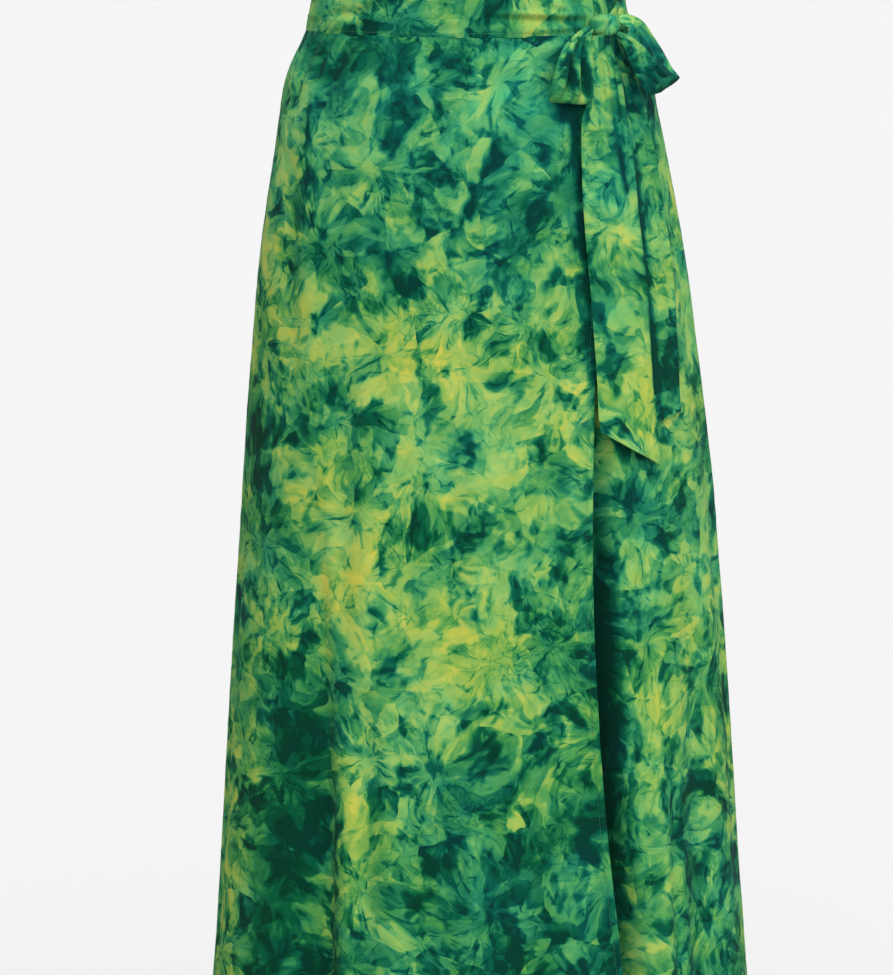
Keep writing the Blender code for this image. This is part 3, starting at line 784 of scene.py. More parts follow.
def unit(vectors_at):
    """Vectors scaled to length 1."""
    return vectors_at / np.linalg.norm(vectors_at, axis=-1, keepdims=True)


def soft_noise(u, v, seed):
    """Smooth unevenness from -1 to 1: random heights on a unit grid, eased between its corners."""
    size = 64
    heights = np.random.default_rng(seed).uniform(-1, 1, (size, size))
    u, v = np.broadcast_arrays(u, v)
    column = np.floor(u).astype(int)
    row = np.floor(v).astype(int)
    over = eased(u - column)
    up = eased(v - row)
    low, high = (
        heights[column % size, line % size] * (1 - over)
        + heights[(column + 1) % size, line % size] * over
        for line in (row, row + 1)
    )
    return low * (1 - up) + high * up


def form_point(turn, height):
    """The worn form without folds: at each height an oval of the power ROUNDNESS."""
    angle = np.radians(turn)
    wide = along(FORM, "half_width", height)
    front, back = along(FORM, "front", height), along(FORM, "back", height)
    deep = np.where(np.cos(angle) > 0, front, back)
    across = np.abs(np.sin(angle) / wide) ** ROUNDNESS
    reach = (across + np.abs(np.cos(angle) / deep) ** ROUNDNESS) ** (-1 / ROUNDNESS)
    x = along(FORM, "shift", height) + reach * np.sin(angle)
    return np.stack([x, -reach * np.cos(angle), height + 0 * reach], axis=-1)


def normals_of(point_at, turn, height):
    """Outward unit normals: the cross product of small steps across and up the surface."""
    step_turn = 0.05
    step_height = 0.0005
    across = point_at(turn + step_turn, height) - point_at(turn - step_turn, height)
    upwards = point_at(turn, height + step_height) - point_at(turn, height - step_height)
    return unit(np.cross(across, upwards))


def fold_depth(turn, height):
    """The sum of the valleys: each a bell across, growing from its top to the hem."""
    depth = np.zeros(np.broadcast(turn, height).shape)
    for fold in rows_of(FOLDS):
        grown = np.clip((fold["top"] - height) / (fold["top"] - HEM), 0, 1)
        drift = (fold["top_turn"] - fold["hem_turn"]) * (1 - grown) ** FOLD_DRIFT
        away = turn_from(fold["hem_turn"] + drift, turn)
        width = np.where(away < 0, fold["before"], fold["after"])
        width = width * (FOLD_START_WIDTH + (1 - FOLD_START_WIDTH) * grown)
        depth += fold["depth"] * grown**FOLD_GROWTH * hump(away, width)
    return depth


def folded_point(turn, height):
    """The form, fallen back level by the depth of its valleys."""
    inward = -normals_of(form_point, turn, height) * [1, 1, 0]
    return form_point(turn, height) + inward * fold_depth(turn, height)[..., np.newaxis]


def stood_out(point_at, turn, height, out):
    """A surface's points, moved a distance out along its normals."""
    turn, height, out = np.broadcast_arrays(turn, height, out)
    normals = normals_of(point_at, turn, height)
    return point_at(turn, height) + normals * out[..., np.newaxis]


def cloth_point(turn, height, out):
    """A point that stands a distance out of the panels' smooth face."""
    return stood_out(folded_point, turn, height, out)


def draped_point(turn, height, out):
    """A point that stands a distance out of the worn form, which spans the valleys."""
    return stood_out(form_point, turn, height, out)


def round_length(turn, height):
    """Rough length round the form from the middle of the front to a turn."""
    radius = (along(FORM, "half_width", height) + along(FORM, "front", height)) / 2
    return np.radians(turn) * radius


def crease_out(turn, height, creases):
    """The sum of the creases: a bell-shaped trough along a bowed line with a lip beside it."""
    out = np.zeros(np.broadcast(turn, height).shape)
    for row in rows_of(creases):
        middle = (row["height_a"] + row["height_b"]) / 2
        x = round_length(turn_from(row["turn_a"], turn), middle)
        z = height - row["height_a"]
        run_x = round_length(row["turn_b"] - row["turn_a"], middle)
        run_z = row["height_b"] - row["height_a"]
        length = np.hypot(run_x, run_z)
        share = (x * run_x + z * run_z) / length**2
        bowed = 4 * row["bow"] * share * (1 - share)
        upper_side = -1 if run_x < 0 else 1
        aside = (z * run_x - x * run_z) / length * upper_side - bowed
        reach = eased(share / CREASE_FADE_IN) * eased((1 - share) / CREASE_FADE_OUT)
        away = aside / row["width"]
        shape = row["lip"] * hump(away - LIP_PLACE, 1.0) - hump(away, 1.0)
        out += row["depth"] * reach * shape
    return out


def line_noise(at, seed):
    """Soft noise along one line."""
    return soft_noise(at, 0.5 + 0 * at, seed)


def rumple_out(turn, height):
    """Soft unevenness that runs down the cloth and grows towards the hem."""
    across = round_length(turn, SWELL_LEVEL)
    grown = SWELL_AT_TOP + (1 - SWELL_AT_TOP) * eased((SWELL_TOP - height) / SWELL_GROWTH)
    sway = line_noise(height / SWAY_LENGTH, SWAY_SEED)
    out = 0.0
    for swell in rows_of(SWELLS):
        at = across / swell["across"] + swell["sway"] * sway
        uneven = soft_noise(at, height / swell["down"], int(swell["seed"]))
        out = out + swell["share"] * uneven * (grown if swell["grows"] else 1.0)
    return out


def hem_out(distance, width):
    """A turned hem: a low welt between the edge and its stitches, which pull a small dip."""
    welt = WELT_HEIGHT * eased(distance / WELT_RISE) * eased((width - distance) / WELT_FALL)
    return welt - STITCH_DIP * hump(distance - width, STITCH_DIP_REACH)


def pucker_out(length, distance, kind):
    """Short waves along a line of sewing that die out away from it."""
    wave = line_noise(length / PUCKER_LENGTH, PUCKER_SEED)
    return PUCKER_HEIGHT * wave * hump(distance, PUCKER_REACH[kind])


def panel_out(turn, height, cloth):
    """How far a panel's face stands out of the smooth cloth, without its two ends."""
    out = cloth.crease * crease_out(turn, height, CREASES)
    out = out + cloth.rumple * rumple_out(turn, height)
    below = BAND_BOTTOM - height
    around = round_length(turn, GATHER_LEVEL) / GATHER_ACROSS
    gathers = soft_noise(around, height / GATHER_DOWN, GATHER_SEED)
    out = out + GATHER_HEIGHT * gathers * hump(below, GATHER_REACH)
    out = out - TOP_DIP * hump(below, TOP_DIP_REACH)
    above_hem = height - HEM
    out = out + hem_out(above_hem, cloth.hem)
    return out + pucker_out(round_length(turn, HEM), above_hem - cloth.hem, "bottom")


def pool_tone(turn, height, pools):
    """The sum of a table's pools, some of them painted shade and highlights: a bell for each, in
    lengths round and down the cloth.
    """
    tone = np.zeros(np.broadcast(turn, height).shape)
    for pool in rows_of(pools):
        x = round_length(turn_from(pool["turn"], turn), height) / pool["wide"]
        z = (height - pool["height"]) / pool["tall"]
        tone += pool["amount"] * np.exp(-(x**2) - z**2)
    return tone


def fill_mesh(name, points, quads, triangles=np.zeros((0, 3), int)):
    """A mesh from arrays of points, quads and triangles, smooth but for sharp rims."""
    mesh = bpy.data.meshes.new(name)
    mesh.vertices.add(len(points))
    mesh.vertices.foreach_set("co", points.astype(np.float32).ravel())
    corners = np.concatenate([quads.ravel(), triangles.ravel()]).astype(np.int32)
    quad_starts = np.arange(0, quads.size, 4)
    starts = np.concatenate([quad_starts, np.arange(quads.size, corners.size, 3)])
    mesh.loops.add(len(corners))
    mesh.loops.foreach_set("vertex_index", corners)
    mesh.polygons.add(len(starts))
    mesh.polygons.foreach_set("loop_start", starts.astype(np.int32))
    mesh.update(calc_edges=True)
    mesh.shade_smooth()
    mesh.set_sharp_from_angle(angle=np.radians(SHARP_FROM))
    return mesh


def grid_faces(rows, columns, start, flipped):
    """Four-cornered faces between neighbouring points of a grid."""
    r, c = np.meshgrid(np.arange(rows - 1), np.arange(columns - 1), indexing="ij")
    corner = start + r * columns + c
    faces = np.stack([corner, corner + columns, corner + columns + 1, corner + 1], axis=-1)
    faces = faces.reshape(-1, 4)
    return faces[:, [0, 3, 2, 1]] if flipped else faces


def rim_faces(rows, columns):
    """Faces that join the outer grid to the inner one round all four edges."""
    index = np.arange(rows * columns).reshape(rows, columns)
    edges = [index[0, :-1], index[:-1, -1], index[-1, :0:-1], index[:0:-1, 0]]
    ring = np.concatenate(edges)
    following = np.roll(ring, -1)
    inner = rows * columns
    return np.stack([ring, following, following + inner, ring + inner], axis=-1)


def tube_faces(stations, around):
    """Quads between the rings of a tube, and the fans that close it on its two end points,
    which come before the rings."""
    ring = np.arange(stations * around).reshape(stations, around) + 2
    after = np.roll(ring, -1, axis=1)
    quads = np.stack([ring[:-1], after[:-1], after[1:], ring[1:]], axis=-1)
    zeros = np.zeros(around, int)
    start = np.stack([zeros, after[0], ring[0]], axis=-1)
    end = np.stack([zeros + 1, ring[-1], after[-1]], axis=-1)
    return quads.reshape(-1, 4), np.concatenate([start, end])


def add_cloth(mesh, places, tone, cool):
    """The cloth's own map in metres, how much lighter or darker each point's print is, painted
    shade and highlights included, and how cool it is.
    """
    corner = np.empty(len(mesh.loops), np.int32)
    mesh.loops.foreach_get("vertex_index", corner)
    layer = mesh.uv_layers.new(name=CLOTH_UV)
    layer.uv.foreach_set("vector", places[corner].astype(np.float32).ravel())
    for name, values in (("tone", tone), ("cool", cool)):
        values = np.broadcast_to(values, len(places)).astype(np.float32)
        mesh.attributes.new(name, "FLOAT", "POINT").data.foreach_set("value", values)


def link_piece(name, mesh):
    piece = bpy.data.objects.new(name, mesh)
    bpy.context.scene.collection.objects.link(piece)
    return piece


def wall_piece(name, outer, inner, places, tone, cool):
    """A closed wall between two grids, its rims joined, with its cloth map on both faces."""
    rows, columns = outer.shape[:2]
    count = rows * columns
    points = np.concatenate([outer.reshape(-1, 3), inner.reshape(-1, 3)])
    skins = [grid_faces(rows, columns, 0, False), grid_faces(rows, columns, count, True)]
    mesh = fill_mesh(name, points, np.concatenate([*skins, rim_faces(rows, columns)]))
    tone, cool = (
        np.tile(np.broadcast_to(values, (rows, columns)).reshape(count), 2)
        for values in (tone, cool)
    )
    add_cloth(mesh, np.tile(places.reshape(count, 2), (2, 1)), tone, cool)
    return link_piece(name, mesh)


def finish_piece(piece, node, material):
    """Dresses a piece and lets it stand for its solid."""
    piece.data.materials.append(material)
    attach(piece, "root")
    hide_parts(node)


def lengths(points, axis):
    """The running length along one axis of a grid of points, from 0."""
    steps = np.linalg.norm(np.diff(points, axis=axis), axis=-1)
    total = np.cumsum(steps, axis=axis)
    start = np.zeros_like(np.take(total, [0], axis=axis))
    return np.concatenate([start, total], axis=axis)


def panel_heights():
    """Rows down a panel, close together under the band and along the hem."""
    top = BAND_BOTTOM + PANEL_TUCK
    under_band, over_hem = top - TOP_ZONE, HEM + HEM_ZONE
    zones = [
        np.linspace(top, under_band, TOP_ROWS, endpoint=False),
        np.linspace(under_band, over_hem, MIDDLE_ROWS, endpoint=False),
        np.linspace(over_hem, HEM, HEM_ROWS + 1),
    ]
    return np.concatenate(zones)[:, np.newaxis]


def column_shares(columns, close):
    """Shares across a panel, close together along the edges that are sewn."""
    start = np.linspace(0, close[0], SEAM_COLUMNS, endpoint=False)
    middle = np.linspace(close[0], 1 - close[1], columns, endpoint=False)
    return np.concatenate([start, middle, np.linspace(1 - close[1], 1, EDGE_COLUMNS)])


def panel_turns(name, height):
    """The turns of a panel's columns at each height, between its seams and free edges."""
    edge = along(LAP_EDGE, "turn", height)
    hidden_edge = -SIDE_TURN + (edge + SIDE_TURN) * LAP_START_SHARE
    first, last = {
        "back": (SIDE_TURN, 360.0 - SIDE_TURN),
        "over": (-SIDE_TURN, edge),
        "under": (hidden_edge, SIDE_TURN),
    }[name]
    shares = column_shares(PANELS[name]["columns"], PANELS[name]["close"])
    return first + (last - first) * shares


def under_lap_depth(turn, height):
    """How far the under-lap lies beneath the smooth cloth: under the over-lap by its depth, and
    hanging back round its free edge in a bell."""
    past = turn - along(LAP_EDGE, "turn", height)
    tucked = 1 - eased((past - LAP_COVER) / LAP_STEP_OUT)
    away = past - FALL_ASIDE
    width = np.where(away < 0, FALL_BEFORE, FALL_AFTER)
    return tucked * LAP_DEPTH + along(LAP_EDGE, "fall", height) * hump(away, width)


def end_out(kind, distance, height, cloth):
    """What the sewing does near a panel's end: a seam turns in, a free edge has a narrow hem."""
    if kind == "seam":
        turned = -SEAM_DIP * hump(distance, SEAM_DIP_REACH)
    else:
        turned = hem_out(distance, cloth.edge_hem)
        distance = distance - cloth.edge_hem
    return turned + pucker_out(height + 0 * distance, distance, kind)


def build_panel(name, height, cloth):
    """A panel, and the points of its two faces."""
    panel = PANELS[name]
    turn = panel_turns(name, height)
    depth = under_lap_depth(turn, height) if name == "under" else 0.0
    run = lengths(cloth_point(turn, height, -depth), 1)
    out = panel_out(turn, height, cloth) - depth
    from_end = {"start": run, "end": run[:, -1:] - run}
    for end, kind in panel["ends"].items():
        out = out + end_out(kind, from_end[end], height, cloth)
    outer = cloth_point(turn, height, out)
    inner = cloth_point(turn, height, out - cloth.wall)
    middle = run[:, run.shape[1] // 2][:, np.newaxis]
    places = np.stack([run - middle, height + 0 * run], axis=-1) + panel["cut_from"]
    # the pools lighten or darken the print, with painted shade, shadow and highlights in places
    tone = pool_tone(turn, height, PRINT_SHADE_AND_LIGHT_POOLS)
    cool = pool_tone(turn, height, COOL_POOLS)
    piece = wall_piece(panel["piece"], outer, inner, places, tone, cool)
    return piece, np.stack([outer, inner])


def line_beside(faces, distance, end):
    """A line down both faces of a panel at a distance from its first or its last column."""
    if end == "start":
        faces = faces[:, :, ::-1]
    run = lengths(faces[0], 1)
    from_end = run[:, -1:] - run
    rows = np.arange(len(run))
    near = np.argmax(from_end <= distance, axis=1)
    far_away = from_end[rows, near - 1]
    share = (far_away - distance) / (far_away - from_end[rows, near])
    share = share[:, np.newaxis]
    return faces[:, rows, near - 1] * (1 - share) + faces[:, rows, near] * share


def linked(tree, target, value):
    """Sets a socket to a number, or links an output to it."""
    if isinstance(value, bpy.types.NodeSocket):
        tree.links.new(value, target)
    else:
        target.default_value = value


def set_inputs(tree, node, inputs):
    """A node's inputs, given by name or number."""
    for key, value in inputs.items():
        linked(tree, node.inputs[key], value)


def add_node(tree, kind, inputs=None, **settings):
    """A node with its settings and its inputs."""
    node = tree.nodes.new(kind)
    for setting, value in settings.items():
        setattr(node, setting, value)
    set_inputs(tree, node, inputs or {})
    return node


def maths(tree, operation, first, second=0.0, clamp=False):
    inputs = {0: first, 1: second}
    node = add_node(tree, "ShaderNodeMath", inputs, operation=operation, use_clamp=clamp)
    return node.outputs[0]


def vectors(tree, operation, first, second=(0.0, 0.0, 0.0)):
    inputs = {0: first, "Scale" if operation == "SCALE" else 1: second}
    node = add_node(tree, "ShaderNodeVectorMath", inputs, operation=operation)
    return node.outputs["Value" if operation == "LENGTH" else "Vector"]


def noise(tree, place, scale, detail=2.0, output="Fac"):
    """Noise with about this many waves to a metre."""
    inputs = {"Vector": place, "Scale": scale, "Detail": detail}
    return add_node(tree, "ShaderNodeTexNoise", inputs).outputs[output]


def smooth_step(tree, value, low, high):
    inputs = {"Value": value, "From Min": low, "From Max": high}
    node = add_node(tree, "ShaderNodeMapRange", inputs, interpolation_type="SMOOTHSTEP")
    return node.outputs["Result"]


def fading(tree, value, low, high):
    """1 up to the low value, falling smoothly to 0 at the high one."""
    return maths(tree, "SUBTRACT", 1.0, smooth_step(tree, value, low, high))


def shaken(tree, place, scale, reach):
    """The place moved aside by noise, up to about half the reach each way."""
    colour = noise(tree, place, scale, output="Color")
    centred = vectors(tree, "SUBTRACT", colour, (0.5, 0.5, 0.5))
    return vectors(tree, "ADD", place, vectors(tree, "SCALE", centred, reach))


def mixed(tree, share, one, other):
    """A colour between two, for a share from 0 to 1."""
    inputs = {0: share, 6: (*one, 1.0), 7: (*other, 1.0)}
    return add_node(tree, "ShaderNodeMix", inputs, data_type="RGBA").outputs[2]


def bump(tree, size, height, **below):
    """The normal of a relief with this strength and distance, over another one if given."""
    inputs = {"Strength": size[0], "Distance": size[1], "Height": height, **below}
    return add_node(tree, "ShaderNodeBump", inputs).outputs["Normal"]


def cells_of(tree, place, scale, feature, **settings):
    inputs = {"Vector": place, "Scale": scale}
    return add_node(tree, "ShaderNodeTexVoronoi", inputs, feature=feature, **settings)


def burst_nodes(tree, place, spacing, petals, breaks):
    """Leaf-like shapes that fan out of a centre in each cell of the cloth.

    The place is turned into the way to its cell's centre, times petals, with its distance as
    the third direction. Noise and Voronoi cells looked up there are narrow across the fan and
    long away from its centre. Gives the streaks, each leaf's tone and edge, and the cell's own
    tone and distance, and how far the fan has opened.
    """
    cells = cells_of(tree, place, 1.0 / spacing, "F1", voronoi_dimensions="2D")
    flat = vectors(tree, "MULTIPLY", place, (1.0, 1.0, 0.0))
    aside = vectors(tree, "SUBTRACT", flat, cells.outputs["Position"])
    heading = vectors(tree, "SCALE", vectors(tree, "NORMALIZE", aside), petals)
    reach = maths(tree, "MULTIPLY", vectors(tree, "LENGTH", aside), breaks / spacing)
    own = vectors(tree, "SCALE", cells.outputs["Color"], PETAL_APART)
    lifted = add_node(tree, "ShaderNodeCombineXYZ", {"Z": reach}).outputs[0]
    looked = vectors(tree, "ADD", vectors(tree, "ADD", heading, own), lifted)
    looked = shaken(tree, looked, *PETAL_SHAKE)
    leaves = cells_of(tree, looked, 1.0, "SMOOTH_F1")
    leaves.inputs["Smoothness"].default_value = PETAL_SOFTNESS
    leaf, picked = (
        add_node(tree, "ShaderNodeSeparateColor", {0: found.outputs["Color"]}).outputs[0]
        for found in (leaves, cells)
    )
    return {
        "streak": noise(tree, looked, 1.0),
        "leaf": leaf,
        "rim": cells_of(tree, looked, 1.0, "DISTANCE_TO_EDGE").outputs["Distance"],
        "tone": picked,
        "reach": cells.outputs["Distance"],
        "open": smooth_step(tree, cells.outputs["Distance"], *PETAL_OPENS),
    }


def new_group(name, inputs, outputs):
    """An empty shader group with typed, named sockets, and its two end nodes."""
    group = bpy.data.node_groups.new(name, "ShaderNodeTree")
    for direction, sockets in (("INPUT", inputs), ("OUTPUT", outputs)):
        for label, kind in sockets.items():
            socket_type = "NodeSocket" + kind
            group.interface.new_socket(label, in_out=direction, socket_type=socket_type)
    return group, group.nodes.new("NodeGroupInput"), group.nodes.new("NodeGroupOutput")


def dye_group(dye):
    """Scrunch dye: bursts, fans, blotches and fine veins summed to one depth of dye, and its
    colour from the deepest teal to gold."""
    group, start, end = new_group(
        "scrunch_dye",
        {"Place": "Vector", "Tone": "Float", "Cool": "Float"},
        {"Colour": "Color"},
    )
    place = bent = start.outputs["Place"]
    for scale, reach in BENDS:
        bent = shaken(group, bent, scale, reach)
    burst = burst_nodes(group, bent, dye.burst, *BURST_PETALS)
    fan = burst_nodes(group, bent, dye.fan, *FAN_PETALS)
    upright = vectors(group, "MULTIPLY", bent, SPLASH_UPRIGHT)
    splash = noise(group, upright, SPLASH_SCALE)

    def centred(value, amount):
        return maths(group, "MULTIPLY", maths(group, "SUBTRACT", value, 0.5), amount)

    def fanned(shape, kind, amounts):
        return maths(group, "MULTIPLY", centred(shape[kind], amounts[kind]), shape["open"])

    def drops(value, levels, amount):
        """Dark drops where a noise falls under a level, with soft edges."""
        return maths(group, "MULTIPLY", smooth_step(group, value, *levels), -amount)

    core = fading(group, burst["reach"], *BURST_CORE)
    parts = [
        fanned(burst, "streak", BURST_AMOUNTS),
        fanned(burst, "leaf", BURST_AMOUNTS),
        maths(group, "MULTIPLY", centred(burst["tone"], BURST_AMOUNTS["tone"]), core),
        fanned(fan, "streak", FAN_AMOUNTS),
        fanned(fan, "leaf", FAN_AMOUNTS),
        *(centred(noise(group, bent, scale), amount) for scale, amount in BLOTCHES),
        drops(burst["streak"], STREAK_DROPS, BURST_AMOUNTS["drops"]),
        drops(fan["streak"], STREAK_DROPS, FAN_AMOUNTS["drops"]),
        drops(splash, SPLASH_DROPS, SPLASH_AMOUNT),
        # the pools' tone, with painted shade, shadow and highlights in places
        start.outputs["Tone"],
    ]
    total = GROUND
    for part in parts:
        total = maths(group, "ADD", part, total)

    crack = centred(noise(group, bent, CRACK_SCALE, 3.0), 1.0)
    line = fading(group, maths(group, "ABSOLUTE", crack), *CRACK_WIDTH)
    where = smooth_step(group, noise(group, place, CRACK_PATCHES), *CRACK_WHERE)
    rim = maths(group, "MULTIPLY", fading(group, burst["rim"], *RIM_WIDTH), burst["open"])
    rim = maths(group, "MULTIPLY", rim, RIM_VEIN)
    vein = maths(group, "MAXIMUM", maths(group, "MULTIPLY", line, where), rim)
    darker = maths(group, "MULTIPLY", vein, VEIN_DARKENS)
    total = maths(group, "SUBTRACT", total, darker, clamp=True)

    ramp = add_node(group, "ShaderNodeValToRGB", {0: total})
    stops = ramp.color_ramp.elements
    stops.remove(stops[1])
    for number, (name, at) in enumerate(DYE_STOPS.items()):
        stop = stops.new(at) if number else stops[0]
        stop.position = at
        stop.color = (*getattr(dye, name), 1.0)

    cool = start.outputs["Cool"]
    for scale, amount in WARMTHS:
        cool = maths(group, "ADD", cool, centred(noise(group, bent, scale), amount))
    cool = maths(group, "MAXIMUM", cool, WARMEST)
    less_red = maths(group, "SUBTRACT", 1.0, maths(group, "MULTIPLY", cool, COOL_TAKES_RED))
    more_blue = maths(group, "ADD", 1.0, maths(group, "MULTIPLY", cool, COOL_ADDS_BLUE))
    tint = add_node(group, "ShaderNodeCombineXYZ", {"X": less_red, "Y": 1.0, "Z": more_blue})
    tinted = vectors(group, "MULTIPLY", ramp.outputs[0], tint.outputs[0])
    set_inputs(group, end, {"Colour": tinted})
    return group


def weave_group():
    """A soft plain weave: two crossed waves, uneven, and a slub along one of them."""
    group, start, end = new_group(
        "plain_weave", {"Place": "Vector"}, {"Height": "Float", "Slub": "Float"}
    )
    place = start.outputs["Place"]
    scaled = vectors(group, "SCALE", shaken(group, place, *GRAIN_SHAKE), GRAIN)
    split = add_node(group, "ShaderNodeSeparateXYZ", {0: scaled})
    warp, weft = (maths(group, "SINE", split.outputs[axis]) for axis in (0, 1))
    crossed = maths(group, "MULTIPLY", maths(group, "MULTIPLY", warp, weft), 0.5)
    slub = noise(group, vectors(group, "MULTIPLY", place, SLUB_STRETCH), 1.0)
    set_inputs(group, end, {"Height": maths(group, "ADD", crossed, slub), "Slub": slub})
    return group


def new_material(name):
    """A new material's node tree and its shader."""
    material = bpy.data.materials.new(name)
    material.use_nodes = True
    return material.node_tree, material.node_tree.nodes["Principled BSDF"]


def cloth_material(name, groups, shift, tone):
    """Dyed plain weave for one slot; the print starts at its own place on the cloth."""
    tree, shader = new_material(name)
    mapped = add_node(tree, "ShaderNodeUVMap", uv_map=CLOTH_UV).outputs[0]
    place = vectors(tree, "ADD", mapped, shift)
    # the tone attribute lightens or darkens the print and carries painted shade, shadow and
    # highlights
    pooled_tone, cool = (
        add_node(tree, "ShaderNodeAttribute", attribute_name=label).outputs["Fac"]
        for label in ("tone", "cool")
    )
    inputs = {"Place": place, "Tone": maths(tree, "ADD", pooled_tone, tone), "Cool": cool}
    dyed = add_node(tree, "ShaderNodeGroup", node_tree=groups["dye"])
    set_inputs(tree, dyed, inputs)
    woven = add_node(tree, "ShaderNodeGroup", node_tree=groups["weave"])
    set_inputs(tree, woven, {"Place": place})
    wrinkle = noise(tree, vectors(tree, "MULTIPLY", place, WRINKLE_STRETCH), WRINKLE_SCALE, 3.0)
    soft = bump(tree, WRINKLE_BUMP, wrinkle)
    uneven = maths(tree, "MULTIPLY", woven.outputs["Slub"], SLUB_ROUGHNESS)
    least = ROUGHNESS - SLUB_ROUGHNESS / 2
    skin = {
        "Base Color": dyed.outputs["Colour"],
        "Normal": bump(tree, GRAIN_BUMP, woven.outputs["Height"], Normal=soft),
        "Roughness": maths(tree, "ADD", uneven, least, clamp=True),
    }
    set_inputs(tree, shader, {**skin, **CLOTH_SKIN})


def thread_material(dye):
    """Sewing thread: a twisted strand in the ground's colour, a little lighter and darker."""
    tree, shader = new_material("sewing_thread")
    place = add_node(tree, "ShaderNodeTexCoord").outputs["Object"]
    colour = mixed(tree, noise(tree, place, THREAD_PATCHES), dye.teal, dye.leaf)
    twist = bump(tree, THREAD_BUMP, noise(tree, place, THREAD_TWIST, 1.0))
    inputs = {"Base Color": colour, "Normal": twist, "Roughness": THREAD_ROUGHNESS}
    set_inputs(tree, shader, inputs)


def skirt_materials(dye):
    """The materials of the skirt, made once and shared by the operators."""
    if "sewing_thread" not in bpy.data.materials:
        groups = {"dye": dye_group(dye), "weave": weave_group()}
        for name, (shift, tone) in CLOTHS.items():
            cloth_material(name, groups, shift, tone)
        thread_material(dye)
    return bpy.data.materials


def spaced(lines, spacing):
    """Evenly spaced places on the first of two lines, the way along it and the way to it from
    the second."""
    run = lengths(lines[0], 0)
    count = int(run[-1] / spacing)
    at = (np.arange(count) + 0.5) * run[-1] / count
    places = [
        np.stack([np.interp(at, run, line[:, axis]) for axis in range(3)], axis=-1)
        for line in lines
    ]
    way = unit(np.gradient(places[0], axis=0))
    facing = places[0] - places[1]
    facing -= way * np.sum(facing * way, axis=-1, keepdims=True)
    return places[0], way, unit(facing)


def stitch_row(name, lines, cloth, material):
    """A row of stitches along a line on the cloth's face: each an arched, closed tube of
    thread, thin where it dives into the cloth."""
    place, way, facing = spaced(lines, cloth.stitch)
    aside = np.cross(way, facing)
    stations = np.linspace(0, 1, STITCH_STATIONS)
    angle = np.linspace(0, 2 * np.pi, STITCH_AROUND + 1)[:-1]
    arch = np.sin(np.pi * stations)
    radius = cloth.thread / 2 * (STITCH_THIN + (1 - STITCH_THIN) * np.sqrt(arch))
    lift = cloth.thread * (STITCH_ARCH * arch - STITCH_SINK)
    forward = (stations - 0.5) * cloth.stitch * STITCH_SHARE
    ring_out = radius[:, np.newaxis] * np.cos(angle) + lift[:, np.newaxis]
    ring_side = radius[:, np.newaxis] * np.sin(angle)
    ring_forward = forward[:, np.newaxis] + 0 * ring_out
    poles = np.array([[lift[0], 0, forward[0]], [lift[-1], 0, forward[-1]]])
    rings = np.stack([ring_out, ring_side, ring_forward], axis=-1).reshape(-1, 3)
    own = np.concatenate([poles, rings])
    axes = np.stack([facing, aside, way], axis=1)
    points = place[:, np.newaxis] + own @ axes
    starts = (np.arange(len(place)) * len(own))[:, np.newaxis, np.newaxis]
    quads, triangles = tube_faces(STITCH_STATIONS, STITCH_AROUND)
    quads, triangles = (quads + starts).reshape(-1, 4), (triangles + starts).reshape(-1, 3)
    mesh = fill_mesh(name, points.reshape(-1, 3), quads, triangles)
    mesh.materials.append(material)
    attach(link_piece(name, mesh), "root")


class SKIRT_OT_panels(bpy.types.Operator):
    """Lays the back, the over-lap and the under-lap over their solids, with their sewing."""

    bl_idname = "skirt.panels"
    bl_label = "Panels"

    def execute(self, context):
        cloth = context.scene.skirt_cloth
        materials = skirt_materials(context.scene.skirt_dye)
        height = panel_heights()
        faces = {}
        for name, panel in PANELS.items():
            piece, faces[name] = build_panel(name, height, cloth)
            finish_piece(piece, panel["node"], materials["dyed_panels"])

        thread = materials["sewing_thread"]
        hem_row = -1 - round(cloth.hem * HEM_ROWS / HEM_ZONE)
        for name in PANELS:
            stitch_row(name + "_hem_stitches", faces[name][:, hem_row], cloth, thread)
        for name, end in (("over", "end"), ("under", "start")):
            line = line_beside(faces[name], cloth.edge_hem, end)
            stitch_row(name + "_edge_stitches", line, cloth, thread)
        return {"FINISHED"}


